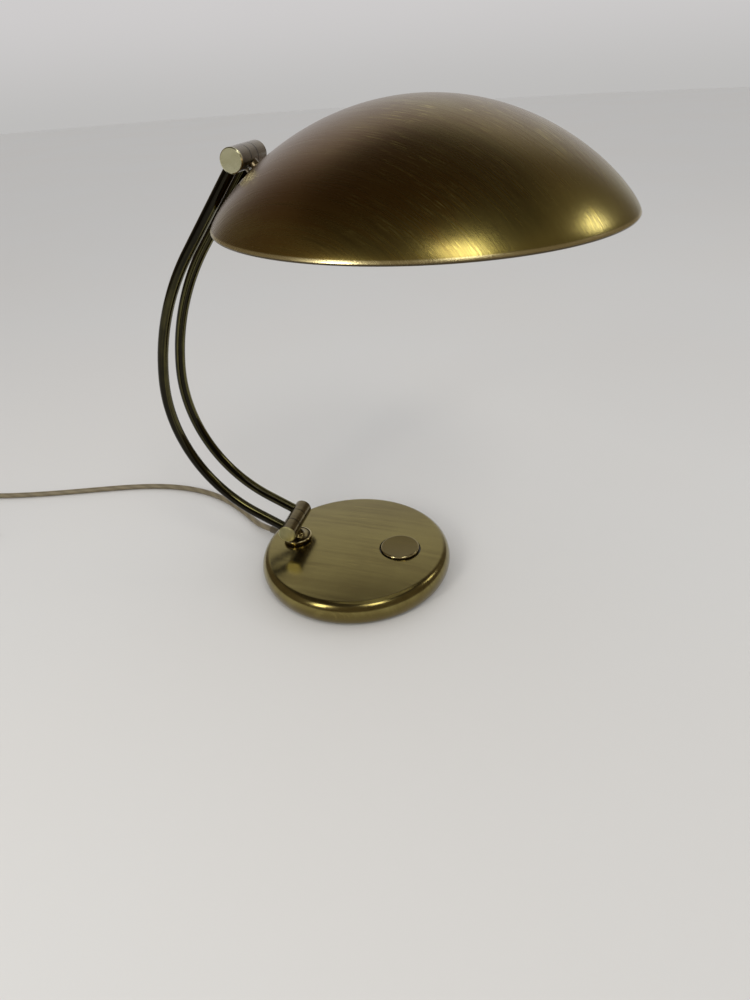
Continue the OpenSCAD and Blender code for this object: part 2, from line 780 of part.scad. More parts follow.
// Point down the neck in the XZ plane, and the elbow's end, where the holder's axis starts
function down_neck(l) = upper_axis + l * [sin(neck_tilt), -cos(neck_tilt)];
elbow_in = down_neck(elbow_top + elbow_sleeve);
elbow_turn = 90 - neck_tilt;
elbow_end = bend_end_left(elbow_in, -elbow_turn, elbow_r, elbow_turn);
function bend_end_left(p, deg, r, turn) =
    [p[0] - r * (sin(deg) - sin(deg + turn)), p[1] + r * (cos(deg) - cos(deg + turn))];

elbow_d = neck_tube_d + 4;
elbow_tail = 3;
elbow_overlap = 0.3;
elbow_lap = elbow_overlap / elbow_r * 180 / PI;

module holder_elbow() {
    color(brass) difference() {
        union() {
            at_neck() translate([0, 0, -(elbow_top + elbow_sleeve)])
                linear_extrude(elbow_sleeve) ring_section(elbow_d, neck_tube_bore);
            translate([elbow_end[0], 0, elbow_end[1] + elbow_r]) rotate([90, 0, 0])
                rotate([0, 0, -90 - elbow_turn - elbow_lap])
                    rotate_extrude(angle = elbow_turn + 2 * elbow_lap)
                        translate([elbow_r, 0]) ring_section(elbow_d, neck_tube_bore, true);
            straight_tube(elbow_end, 0, elbow_tail, elbow_d, neck_tube_bore);
        }
        at_neck() translate([0, 0, -(elbow_top + elbow_sleeve) + 1])
            cylinder(d = neck_tube_d + 2 * seat, h = elbow_sleeve);
    }
}

// Places an outline, drawn as [radius, distance], round the holder's axis
module on_holder_axis() {
    translate([elbow_end[0] + elbow_tail, 0, elbow_end[1]]) rotate([0, 90, 0])
        rotate_extrude() children();
}

holder_r = holder_d / 2;
cap_len = 17;
cap_neck_r = elbow_d / 2 + 1.2;
holder_end = cap_len + holder_len;
skirt_wall = 2.4;

module holder_cap() {
    color(bakelite) on_holder_axis() polygon(concat(
        [[neck_tube_bore / 2, 0], [cap_neck_r - 0.6, 0], [cap_neck_r, 0.6], [cap_neck_r, 3]],
        ellipse_points([cap_neck_r, 9.5], holder_r - cap_neck_r, 5.5, -90, 0, 8),
        [[holder_r, cap_len], [holder_r - skirt_wall, cap_len], [holder_r - skirt_wall, 10],
         [cap_neck_r - 1, 5], [neck_tube_bore / 2, 5]]));
}

module holder_skirt() {
    groove = 1;
    color(bakelite) on_holder_axis() polygon([
        [holder_r - groove, cap_len], [holder_r - groove, cap_len + 1.5],
        [holder_r, cap_len + 1.5], [holder_r, cap_len + 7], [holder_r - groove, cap_len + 8],
        [holder_r - groove, holder_end - 4], [holder_r, holder_end - 3],
        [holder_r, holder_end - 0.6], [holder_r - 0.6, holder_end],
        [holder_r - skirt_wall - 1, holder_end], [holder_r - skirt_wall - 1, cap_len + 2],
        [holder_r - skirt_wall, cap_len]]);
}

insert_face = cap_len + 3;
thread_r = 7.6;

module holder_insert() {
    color(porcelain) on_holder_axis() polygon([
        [0, 11], [holder_r - skirt_wall - 0.1, 11], [holder_r - skirt_wall - 0.1, cap_len - 0.1],
        [holder_r - skirt_wall - 1.1, cap_len - 0.1], [holder_r - skirt_wall - 1.1, insert_face],
        [0, insert_face]]);
}

module holder_thread() {
    color(brass) on_holder_axis() polygon([
        [thread_r, insert_face], [thread_r + 0.4, insert_face],
        [thread_r + 0.4, holder_end - 7], [thread_r, holder_end - 7]]);
}

bulb_cap_r = 7;
bulb_cap_len = 18;
bulb_start = insert_face + bulb_cap_len;

module bulb_cap() {
    color(steel) on_holder_axis() polygon([
        [0, insert_face], [2.4, insert_face], [2.4, insert_face + 1.2],
        [bulb_cap_r - 2, insert_face + 3], [bulb_cap_r, insert_face + 4.5],
        [bulb_cap_r, bulb_start], [0, bulb_start]]);
}

// The candle bulb swells from its cap, and draws in to a rounded tip
module bulb_glass() {
    belly = bulb_len * 0.42;
    color(porcelain) on_holder_axis() polygon(concat(
        [[0, bulb_start], [bulb_cap_r + 0.6, bulb_start]],
        [for (i = [1:12])
            let (u = i / 12, w = u * u * (3 - 2 * u))
            [bulb_cap_r + 0.6 + (bulb_d / 2 - bulb_cap_r - 0.6) * w, bulb_start + belly * u]],
        [for (i = [1:16])
            let (a = 90 * i / 16)
            [bulb_d / 2 * pow(cos(a), 1.25), bulb_start + belly + (bulb_len - belly) * sin(a)]]));
}

// ---- Cord ------------------------------------------------------------------

// A smooth curve through the points p, with n steps between two of them
function through(p, n) =
    [for (i = [0:len(p) - 2], j = [0:n - 1]) spline(p, i, j / n), p[len(p) - 1]];
function spline(p, i, u) =
    let (a = i > 0 ? p[i - 1] : 2 * p[0] - p[1],
         b = p[i],
         c = p[i + 1],
         d = i + 2 < len(p) ? p[i + 2] : 2 * c - b)
    0.5 * (2 * b + (c - a) * u + (2 * a - 5 * b + 4 * c - d) * u * u
           + (3 * b - a - 3 * c + d) * u * u * u);

function path_length(p, i = 0) = i >= len(p) - 1 ? 0 : norm(p[i + 1] - p[i]) + path_length(p, i + 1);

relief_start = base_d / 2;
relief_end = relief_start + relief_len;

module strain_relief() {
    flange = relief_start + 1.6;
    color(rubber) {
        at_exit() rotate([0, 90, 0]) translate([0, 0, relief_start - 6])
            cylinder(d = gland_d, h = 6.2);
        difference() {
            at_exit() rotate([0, 90, 0]) rotate_extrude() polygon([
                [0, relief_start - 3], [gland_flange_d / 2, relief_start - 3],
                [gland_flange_d / 2, flange - 0.6], [gland_flange_d / 2 - 0.6, flange],
                [gland_d / 2 - 0.2, flange], [cord_d / 2 + 0.8, relief_end], [0, relief_end]]);
            base_solid();
        }
    }
}

// Height of the cord's middle where it lies on the surface, and where it lies on the
// strap that ties the coil
rest = cord_d / 2 + 0.05;
tie_t = 0.5;
lay = rest + tie_t;

// Route of the cord from the strain relief to the coil
route = [
    relief_end * [cos(gland_deg), sin(gland_deg), 0] + [0, 0, cord_exit_z],
    [-125, 44.2, rest + 3.1], [-136, 51.4, rest + 1.4], [-148, 61, rest + 0.3],
    [-165, 74.5, rest], [-186, 89, rest], [-209, 101.5, rest], [-234, 110.5, rest],
    [-261, 115.5, rest], [-290, 116, rest], [-320, 112, rest], [-350, 104.5, rest],
    [-380, 95, rest], [-410, 85, rest], [-440, 75.5, rest], [-470, 67, rest],
    [-500, 60, rest], [-533, 54.6, rest + 0.3], [-567.5, 52.5, lay]
];

exit_heading = [cos(gland_deg), sin(gland_deg), 0];

module cord_run() {
    color(cord_colour) swept_tube(run_path, cord_d, 10, exit_heading, coil_heading(-coil_turns));
}

// The coil: two layers that spiral in and out again, climbing where they reverse.
// Its ends run straight for one diameter, and it rests on the strap that ties it.
coil_middle = [-574, 5.5];
coil_turns = 2.75;
coil_pitch = 7.4;
coil_layer = 7.2;
coil_out_r = 47;
coil_soft = 0.1;
coil_start_deg = 90;
coil_loop_rings = 24;

function coil_r(u) =
    coil_out_r - coil_pitch * (sqrt(coil_turns * coil_turns + coil_soft * coil_soft)
                               - sqrt(u * u + coil_soft * coil_soft));
function climb(u) = let (s = min(1, max(0, u * 2 + 0.5))) s * s * (3 - 2 * s);
function coil_deg(u) = coil_start_deg + 360 * (u + coil_turns);
function coil_point(u) =
    [coil_middle[0] + coil_r(u) * cos(coil_deg(u)), coil_middle[1] + coil_r(u) * sin(coil_deg(u)),
     lay + coil_layer * climb(u)];
// Direction in which the cord lies at u
function coil_heading(u) = [-sin(coil_deg(u)), cos(coil_deg(u)), 0];

coil_rings = round(2 * coil_turns * coil_loop_rings);
coil_in = coil_point(-coil_turns) - cord_d * coil_heading(-coil_turns);
coil_out = coil_point(coil_turns) + cord_d * coil_heading(coil_turns);
coil_path = concat(
    [coil_in],
    [for (i = [0:coil_rings]) coil_point(-coil_turns + 2 * coil_turns * i / coil_rings)],
    [coil_out]);
coil_gap = min([for (i = [0:coil_rings - 8], j = [i + 8:coil_rings])
    norm(coil_path[i + 1] - coil_path[j + 1])]) - cord_d;

module cord_coil() { color(cord_colour) swept_tube(coil_path, cord_d, 6); }

// The strap goes once round the turns on the coil's far side
tie_w = 6;
tie_fit = 0.35;
tie_round = 3;

function rounded_box(x0, x1, z0, z1, r) = concat(
    ellipse_points([x1 - r, z1 - r], r, r, 0, 90, 6),
    ellipse_points([x0 + r, z1 - r], r, r, 90, 180, 6),
    ellipse_points([x0 + r, z0 + r], r, r, 180, 270, 6),
    ellipse_points([x1 - r, z0 + r], r, r, 270, 360, 6));

module cord_tie() {
    near = coil_r(0.5) - cord_d / 2 - tie_fit;
    far = coil_r(coil_turns - 0.25) + cord_d / 2 + tie_fit;
    top = lay + coil_layer + cord_d / 2 + 0.1;
    color(rubber) translate([coil_middle[0], coil_middle[1] + tie_w / 2, 0])
        rotate([90, 0, 0]) mirror([1, 0, 0]) linear_extrude(tie_w) difference() {
            polygon(rounded_box(near - tie_t, far + tie_t, 0, top + tie_t, tie_round + tie_t));
            polygon(rounded_box(near, far, tie_t, top, tie_round));
        }
}

// The tail leaves the upper layer and comes down to the plug, which lies beside the coil
plug_z = plug_t / 2 + 0.1;
plug_deg = coil_deg(coil_turns) + 90;
plug_relief = 22;
tail_end = coil_out + 42 * coil_heading(coil_turns) + [0, 0, plug_z - coil_out[2]];
tail_path = [for (i = [0:4])
    let (u = i / 4, s = u * u * (3 - 2 * u))
    [coil_out[0] + (tail_end[0] - coil_out[0]) * u, coil_out[1] + (tail_end[1] - coil_out[1]) * u,
     coil_out[2] + (tail_end[2] - coil_out[2]) * s]];

module cord_tail() {
    heading = coil_heading(coil_turns);
    color(cord_colour) swept_tube(tail_path, cord_d, 10, heading, heading);
}

run_path = through(route, 2);
echo(coil_gap = coil_gap, run = path_length(run_path), coil = path_length(coil_path),
     all = path_length(run_path) + path_length(coil_path) + path_length(tail_path));

// Places children at the plug's cord end, with +X towards its pins
module at_plug() { translate(tail_end) rotate([0, 0, plug_deg]) children(); }

module plug_body() {
    grip = plug_relief;
    face = plug_relief + plug_len;
    side = plug_t / 2;
    color(rubber) at_plug() {
        rotate([0, 90, 0]) rotate_extrude() polygon(concat(
            [[0, 0], [cord_d / 2 + 0.6, 0]],
            [for (i = [0:3]) each [
                [cord_d / 2 + 0.9 + 0.3 * i, 2 + 4 * i], [cord_d / 2 + 0.9 + 0.3 * i, 4.4 + 4 * i],
                [cord_d / 2 + 0.3 + 0.3 * i, 4.4 + 4 * i], [cord_d / 2 + 0.3 + 0.3 * i, 6 + 4 * i]]],
            [[cord_d / 2 + 2.2, grip - 2], [cord_d / 2 + 2.6, grip + 2], [0, grip + 2]]));
        intersection() {
            translate([0, 0, -side]) linear_extrude(plug_t) polygon(concat(
                ellipse_points([face - 2, plug_w / 2 - 2], 2, 2, 0, 90, 6),
                ellipse_points([face - 12, plug_w / 2 - 9], 10, 9, 90, 150, 6),
                ellipse_points([grip + 3, cord_d / 2 + 4.5], 3, 3, 90, 180, 6),
                ellipse_points([grip + 3, -cord_d / 2 - 4.5], 3, 3, 180, 270, 6),
                ellipse_points([face - 12, 9 - plug_w / 2], 10, 9, 210, 270, 6),
                ellipse_points([face - 2, 2 - plug_w / 2], 2, 2, 270, 360, 6)));
            translate([0, plug_w / 2, 0]) rotate([90, 0, 0]) linear_extrude(plug_w) polygon([
                [grip, -side + 1.6], [grip + 12, -side], [face, -side],
                [face, side], [grip + 12, side], [grip, side - 1.6]]);
            translate([grip - 1, 0, 0]) rotate([90, 0, 90]) linear_extrude(plug_len + 2) polygon(concat(
                ellipse_points([plug_w / 2 - side, 0], side, side, -90, 90),
                ellipse_points([side - plug_w / 2, 0], side, side, 90, 270)));
        }
    }
}

module plug_pins() {
    face = plug_relief + plug_len;
    color(steel) at_plug() for (s = [-1, 1])
        translate([face, s * plug_pin_gap / 2, 0]) rotate([0, 90, 0]) {
            cylinder(d = plug_pin_d, h = plug_pin_len - 1);
            translate([0, 0, plug_pin_len - 1 - eps])
                cylinder(d1 = plug_pin_d, d2 = plug_pin_d - 1.6, h = 1 + eps);
        }
}

base_shell();
ballast();
bottom_cover();
cover_screws();
foot_pad();
rosette();
stem();
stem_nut();
lower_knuckle_middle();
button_cup();
cup_screws();
switch_body();
switch_plunger();
button_spring();
push_button();
lower_knuckle_front();
lower_knuckle_rear();
lower_cap();
lower_pivot();
lower_washers();
arm_front();
arm_rear();
inner_lead();
upper_knuckle_front();
upper_knuckle_rear();
upper_cap();
upper_pivot();
upper_washers();
upper_knuckle_middle();
set_screw();
neck_plate();
neck_tube();
shade_shell();
inner_washer();
lock_nut();
holder_elbow();
holder_cap();
holder_skirt();
holder_insert();
holder_thread();
bulb_cap();
bulb_glass();
strain_relief();
cord_run();
cord_coil();
cord_tie();
cord_tail();
plug_body();
plug_pins();
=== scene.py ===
"""Finished look of a dome shade desk lamp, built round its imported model.

Lengths are metres in the lamp's own frame: +Z up, origin at the middle of the base
on the surface it stands on, the shade towards +X and both hinge axes along Y.
"""

import logging
from dataclasses import dataclass
from enum import Enum
from math import asin, cos, pi, radians, sin, sqrt, tau
from typing import Iterable, NamedTuple, Sequence

import bmesh
import bpy
from bpy.types import ID, Material, Mesh, Node, NodeSocket, Object, ShaderNode, World
from mathutils import Matrix, Vector

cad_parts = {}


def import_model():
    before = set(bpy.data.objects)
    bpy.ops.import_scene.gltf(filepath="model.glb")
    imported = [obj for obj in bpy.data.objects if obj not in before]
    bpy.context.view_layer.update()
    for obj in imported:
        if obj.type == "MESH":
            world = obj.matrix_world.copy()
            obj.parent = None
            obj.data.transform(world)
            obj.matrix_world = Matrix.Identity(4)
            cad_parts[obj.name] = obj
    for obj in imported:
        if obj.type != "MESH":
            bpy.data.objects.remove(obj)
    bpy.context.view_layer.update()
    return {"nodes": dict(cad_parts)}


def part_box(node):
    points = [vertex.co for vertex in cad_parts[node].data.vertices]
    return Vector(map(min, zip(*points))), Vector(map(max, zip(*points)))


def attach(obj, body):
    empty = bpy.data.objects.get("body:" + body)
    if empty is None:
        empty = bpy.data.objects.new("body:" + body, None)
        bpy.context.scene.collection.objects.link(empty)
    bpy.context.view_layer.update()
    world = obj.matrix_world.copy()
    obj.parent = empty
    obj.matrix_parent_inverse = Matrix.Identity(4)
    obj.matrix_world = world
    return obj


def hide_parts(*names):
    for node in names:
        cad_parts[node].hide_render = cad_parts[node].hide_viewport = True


log = logging.getLogger("lamp")

MM = 0.001
Colour = tuple[float, float, float]
Outline = list[tuple[float, float]]

# Places and sizes that several pieces share; an axis is its X and Z.
LOWER_AXIS = (-65.8 * MM, 51.3 * MM)
UPPER_AXIS = (-65.9928 * MM, 405.95 * MM)
STEM_DIAMETER = 10 * MM
ROSETTE_DIAMETER = 31 * MM
BUTTON_X = 49 * MM
BUTTON_DIAMETER = 40.4 * MM
RIM_CENTRE = (78.2026 * MM, 362.354 * MM)
CORD_EXIT_DEG = 161.0
CORD_EXIT_Z = 7.5 * MM


# ---- Shader graphs ---------------------------------------------------------


class Link:
    """A value in a shader graph, on which Python's operators add Math nodes."""

    def __init__(self, graph: "Graph", socket: NodeSocket) -> None:
        """Keeps the graph and the output socket that carries the value."""
        self.graph = graph
        self.socket = socket

    def maths(self, operation: str, *others: "Link | float") -> "Link":
        """Applies one Math operation.

        Args:
            operation: The Math node's operation.
            others: The values that follow this one.

        Returns:
            The result as a new value.
        """
        return self.graph.maths(operation, self, *others)

    def __add__(self, other: "Link | float") -> "Link":
        """Adds another value or number."""
        return self.maths("ADD", other)

    def __sub__(self, other: "Link | float") -> "Link":
        """Takes another value or number away."""
        return self.maths("SUBTRACT", other)

    def __mul__(self, other: "Link | float") -> "Link":
        """Multiplies by another value or number."""
        return self.maths("MULTIPLY", other)

    def __truediv__(self, other: "Link | float") -> "Link":
        """Divides by another value or number."""
        return self.maths("DIVIDE", other)

    def __rsub__(self, other: float) -> "Link":
        """Takes this value from a number."""
        return self.graph.maths("SUBTRACT", other, self)

    __radd__ = __add__
    __rmul__ = __mul__


class Mask(NamedTuple):
    """Where a value leads from nothing to a share, as distances from a base."""

    start: float
    full: float
    share: float


class NodeTree:
    """A node tree to which nodes are added with their settings and values."""

    prefix = ""

    def __init__(self, tree: bpy.types.NodeTree) -> None:
        """Keeps the tree."""
        self.tree = tree

    def node(
        self,
        kind: str,
        settings: dict[str, object] | None = None,
        values: dict[str | int, object] | None = None,
    ) -> Node:
        """Adds any node.

        Args:
            kind: The node's type name, without the class's prefix.
            settings: Attributes, which are set first.
            values: What each input holds, or the Link or socket that feeds it.

        Returns:
            The new node.
        """
        made = self.tree.nodes.new(self.prefix + kind)
        for key, value in (settings or {}).items():
            setattr(made, key, value)
        for key, value in (values or {}).items():
            source = value.socket if isinstance(value, Link) else value
            if isinstance(source, NodeSocket):
                self.tree.links.new(source, made.inputs[key])
            else:
                made.inputs[key].default_value = source
        return made


class Graph(NodeTree):
    """The shader tree of one material or world."""

    prefix = "ShaderNode"

    def __init__(self, owner: Material | World) -> None:
        """Starts an empty tree.

        Args:
            owner: The material or world that holds the tree.
        """
        owner.use_nodes = True
        super().__init__(owner.node_tree)
        self.owner = owner
        self.tree.nodes.clear()

    @classmethod
    def surface(cls, name: str) -> "Graph":
        """Starts the tree of a new material of that name."""
        return cls(bpy.data.materials.new(name))

    def out(self, made: ShaderNode, name: str | int = 0) -> Link:
        """Wraps one output of a node."""
        return Link(self, made.outputs[name])

    def maths(self, operation: str, *operands: Link | float) -> Link:
        """Adds one Math node over values and numbers."""
        values = dict(enumerate(operands))
        return self.out(self.node("Math", {"operation": operation}, values))

    def between(self, value: Link, low: float, high: float) -> Link:
        """Maps a span to a smooth 0 to 1.

        Args:
            value: The value that is mapped.
            low: Where the result is 0; it may be the larger number.
            high: Where the result is 1.

        Returns:
            The mapped value.
        """
        settings = {"interpolation_type": "SMOOTHSTEP"}
        if low < high:
            values = {"Value": value, "From Min": low, "From Max": high}
            return self.out(self.node("MapRange", settings, values))
        return 1.0 - self.between(value, high, low)

    def masked(self, value: Link, mask: Mask, base: float = 0.0) -> Link:
        """The share that a mask gives a value, measured from a base."""
        start, full = base + mask.start, base + mask.full
        return self.between(value, start, full) * mask.share

    def reach(self, a: Link, b: Link) -> Link:
        """The length of the vector of two values."""
        return (a * a + b * b).maths("SQRT")

    def mix(self, share: Link | float, first: object, second: object) -> Link:
        """Mixes two colours.

        Args:
            share: How much of the second there is, from 0 to 1.
            first: A Link or an RGB tuple.
            second: A Link or an RGB tuple.

        Returns:
            The mixed colour.
        """
        values = {0: share}
        for place, colour in ((6, first), (7, second)):
            values[place] = colour if isinstance(colour, Link) else (*colour, 1.0)
        return self.out(self.node("Mix", {"data_type": "RGBA"}, values), 2)

    def place(self) -> Link:
        """The point on the object, in the lamp's frame."""
        return self.out(self.node("TexCoord"), "Object")

    def uv(self) -> Link:
        """The piece's own UV map."""
        return self.out(self.node("TexCoord"), "UV")

    def split(self, vector: Link) -> tuple[Link, Link, Link]:
        """The three parts of a vector."""
        made = self.node("SeparateXYZ", None, {0: vector})
        return self.out(made, 0), self.out(made, 1), self.out(made, 2)

    def join(self, x: Link | float, y: Link | float, z: Link | float) -> Link:
        """A vector of three values."""
        return self.out(self.node("CombineXYZ", None, {0: x, 1: y, 2: z}))

    def noise(self, vector: Link, scale: float, detail: float, rough: float) -> Link:
        """Noise of about 0.5 in the mean, over a vector times a scale."""
        values = {"Vector": vector, "Scale": scale}
        values |= {"Detail": detail, "Roughness": rough}
        return self.out(self.node("TexNoise", None, values), 0)

    def bump(self, height: Link, strength: float, depth: float) -> Link:
        """A normal that follows a height, depth being the height's size in metres."""
        values = {"Height": height, "Strength": strength, "Distance": depth}
        return self.out(self.node("Bump", None, values))

    def finish(self, **sockets: object) -> Material:
        """Ends the graph in a Principled shader.

        Args:
            sockets: The shader's sockets, with _ for each space in a name.

        Returns:
            The finished material.
        """
        values = {}
        for name, value in sockets.items():
            if isinstance(value, tuple):
                value = (*value, 1.0)
            values[name.replace("_", " ")] = value
        shader = self.node("BsdfPrincipled", None, values)
        self.node("OutputMaterial", None, {"Surface": self.out(shader)})
        return self.owner


# ---- Finishes --------------------------------------------------------------


class Grain(NamedTuple):
    """Noise stretched along the brushing: frequencies per metre, detail, roughness."""

    along: float
    across: float
    up: float
    detail: float
    rough: float


# Across the brushing, a grain's frequency is a share of the finish's own lines.
FINE_LINES = Grain(22.0, 1.0, 30.0, 5.0, 0.7)
HAIR_LINES = Grain(60.0, 1.5, 70.0, 2.0, 0.5)
WIDE_BANDS = Grain(7.0, 0.3, 10.0, 3.0, 0.6)

# Scale, detail and roughness of the noises that brushing doesn't stretch.
CLOUDS = (9.0, 3.0, 0.45)
TARNISH = (34.0, 4.0, 0.6)
PITS = (900.0, 1.0, 0.4)

# How much clouds, tarnish and fine lines each add to the age of the brass.
AGE_SHARES = (0.8, 0.2, 0.3)

# Values of a noise between which a mask goes from 0 to 1.
BRUSHED_AGE = (-0.3, 0.4)
TURNED_AGE = (-0.2, 0.3)
SCRATCH = (0.54, 0.70)
SCRATCHED_PATCH = (0.40, 0.62)
CLOUD = (0.3, 0.7)
DARK_LINE = Mask(0.42, 0.26, 0.30)
PIT = Mask(0.71, 0.78, 0.5)

# Masks by the height over a hem or a foot.
# Less patina towards a rim: rubbed wear that also paints the floor's golden reflection.
EDGE_WEAR_AND_REFLECTION = Mask(42 * MM, 6 * MM, 0.30)
# Upper half of the hem: a painted highlight.
HEM_HIGHLIGHT = Mask(2.7 * MM, 1.6 * MM, 0.85)
# Lower half of the hem: a painted shadow.
HEM_DARK = Mask(0.45 * MM, -0.15 * MM, 0.95)
# Darker towards a foot: painted shade for the dark reflection low on the base's side.
FOOT_PAINTED_SHADE = Mask(4 * MM, -5 * MM, 0.45)

# Masks by the distance from a groove's middle or from a rim.
GROOVE = Mask(0.95 * MM, 0.35 * MM, 0.85)
# A painted highlight on the outer ring of a cap's face.
CAP_RIM_HIGHLIGHT = Mask(-1.3 * MM, -0.4 * MM, 1.0)
WORN_RIM = Mask(-1.7 * MM, 0.0, 0.8)

# How bright a scratch and a pit are beside the brass round them.
SCRATCH_LIGHT = 1.7
PIT_LIGHT = 0.35

HEM_SHADOW: Colour = (0.045, 0.03, 0.015)
GROOVE_SHADOW: Colour = (0.02, 0.016, 0.01)


@dataclass(frozen=True)
class BrushedBrass:
    """Lacquered antique brass, brushed along one direction over a brown patina."""

    name: str
    rubbed: Colour = (0.37, 0.28, 0.11)
    patina: Colour = (0.185, 0.095, 0.030)
    # Bare brass for worn rims, also the colour of painted highlights on the hem and cap
    # rims.
    bare_and_highlight: Colour = (0.70, 0.60, 0.33)
    aged: float = 0.5
    painted_shade_along_x: float = 0.0
    roughness: float = 0.27
    brush_deg: float = 0.0
    lines: float = 620.0
    relief: float = 0.06
    coat: float = 0.7
    scratched: float = 0.4
    lit_scratches_from: tuple[float, float] | None = None
    banded: float = 0.25
    edge_z: float | None = None
    foot_z: float | None = None
    worn_ring: tuple[float, float] | None = None

    def lined(self, g: Graph, spot: Sequence[Link], grain: Grain) -> Link:
        """Makes the noise of one grain.

        Args:
            g: The graph that takes the nodes.
            spot: The point's distances along, across and up from the brushing.
            grain: The noise's stretch and detail.

        Returns:
            The noise.
        """
        along, across, up = spot
        across = across * self.lines * grain.across
        vector = g.join(along * grain.along, across, up * grain.up)
        return g.noise(vector, 1.0, grain.detail, grain.rough)

    def material(self) -> Material:
        """Builds the brass with its streaks, patina, scratches and worn edges, and with
        painted shade, reflection and highlights.

        Returns:
            The material.
        """
        g = Graph.surface(self.name)
        at = g.place()
        x, y, z = g.split(at)
        turn = radians(self.brush_deg)
        along = x * cos(turn) + y * sin(turn)
        across = y * cos(turn) - x * sin(turn)
        spot = (along, across, z)
        fine = self.lined(g, spot, FINE_LINES)
        hair = self.lined(g, spot, HAIR_LINES)
        bands = self.lined(g, spot, WIDE_BANDS)
        clouds = g.noise(at, *CLOUDS)
        tarnish = g.noise(at, *TARNISH)
        pits = g.noise(at, *PITS)
        of_clouds, of_tarnish, of_fine = AGE_SHARES
        age = clouds * of_clouds + tarnish * of_tarnish + fine * of_fine
        age = age + bands * self.banded
        age = age + (self.aged - 0.5 - 0.5 * (sum(AGE_SHARES) + self.banded))
        # Darker towards -X: painted shade for the dark reflection on the dome's left
        # side.
        if self.painted_shade_along_x:
            age = age - x * self.painted_shade_along_x
        # Less patina near the rim: rubbed wear that also paints the floor's golden
        # reflection on the dome's lower band.
        if self.edge_z:
            age = age - g.masked(z, EDGE_WEAR_AND_REFLECTION, self.edge_z)
        # Darker towards the foot: painted shade for the dark reflection low on the
        # base's side.
        if self.foot_z:
            age = age + g.masked(z, FOOT_PAINTED_SHADE, self.foot_z)
        aged = g.between(age, *BRUSHED_AGE)
        colour = g.mix(aged, self.rubbed, self.patina)
        scratch = g.between(hair, *SCRATCH) * g.between(tarnish, *SCRATCHED_PATCH)
        # Scratches show only over a span of X, on the dome's lit side: real scratches
        # that also paint its highlight streaks.
        if self.lit_scratches_from:
            scratch = scratch * g.between(x, *self.lit_scratches_from)
        light = tuple(SCRATCH_LIGHT * c for c in self.rubbed)
        colour = g.mix(scratch * self.scratched, colour, light)
        dark = g.masked(fine, DARK_LINE) + g.masked(pits, PIT)
        colour = g.mix(dark, colour, tuple(PIT_LIGHT * c for c in self.patina))
        if self.worn_ring:
            middle, radius = self.worn_ring
            off = g.reach(x - middle, y)
            colour = g.mix(g.masked(off, WORN_RIM, radius), colour, self.bare_and_highlight)
        # The hem's upper half takes a painted highlight and its underside a painted
        # shadow.
        if self.edge_z:
            hem_highlight = g.masked(z, HEM_HIGHLIGHT, self.edge_z)
            colour = g.mix(hem_highlight, colour, self.bare_and_highlight)
            shadowed = g.masked(z, HEM_DARK, self.edge_z)
            colour = g.mix(shadowed, colour, HEM_SHADOW)
        rough = self.roughness + fine * 0.14 - 0.07 + aged * 0.04 - scratch * 0.05
        return g.finish(
            Base_Color=colour,
            Metallic=1.0,
            Roughness=rough,
            Coat_Weight=self.coat,
            Coat_Roughness=0.24,
            Normal=g.bump(fine * 0.8 + hair * 0.5, self.relief, 0.5 * MM),
        )


@dataclass(frozen=True)
class TurnedBrass:
    """Lathe-turned brass with fine rings round its own axis and a thin patina."""

    name: str
    bright: Colour = (0.40, 0.33, 0.15)
    patina: Colour = (0.15, 0.105, 0.05)
    aged: float = 0.5
    roughness: float = 0.26
    rings: float = 520.0
    grain: float = 22.0
    ring_and_sheen_share: float = 0.3
    mottle: float = 1.0
    coat: float = 0.3
    grooves_at: float | None = None
    rim: tuple[float, float, float] | None = None

    def material(self) -> Material:
        """Builds the turned brass; its rings follow the distance along Y.

        Returns:
            The material.
        """
        g = Graph.surface(self.name)
        at = g.place()
        x, y, z = g.split(at)
        stretched = g.join(x * self.grain, y * self.rings, z * self.grain)
        ring = g.noise(stretched, 1.0, 3.0, 0.6)
        clouds = g.noise(at, 70.0, 4.0, 0.55)
        # On the arms this noise runs as lines along the tubes and also paints their
        # reflection lines.
        age = clouds * self.mottle + ring * self.ring_and_sheen_share
        age = age + (self.aged - 0.5 - 0.5 * (self.mottle + self.ring_and_sheen_share))
        aged = g.between(age, *TURNED_AGE)
        colour = g.mix(aged, self.bright, self.patina)
        if self.grooves_at:
            off = (y.maths("ABSOLUTE") - self.grooves_at).maths("ABSOLUTE")
            colour = g.mix(g.masked(off, GROOVE), colour, GROOVE_SHADOW)
        # A painted highlight round the outer ring of the face.
        if self.rim:
            middle_x, middle_z, radius = self.rim
            off = g.reach(x - middle_x, z - middle_z)
            bare_and_highlight = tuple(min(1.35 * c, 0.9) for c in self.bright)
            colour = g.mix(g.masked(off, CAP_RIM_HIGHLIGHT, radius), colour, bare_and_highlight)
        rough = self.roughness + (clouds * 0.14 - 0.07) * self.mottle
        return g.finish(
            Base_Color=colour,
            Metallic=1.0,
            Roughness=rough,
            Coat_Weight=self.coat,
            Coat_Roughness=0.12,
            Normal=g.bump(ring, 0.06, 0.3 * MM),
        )


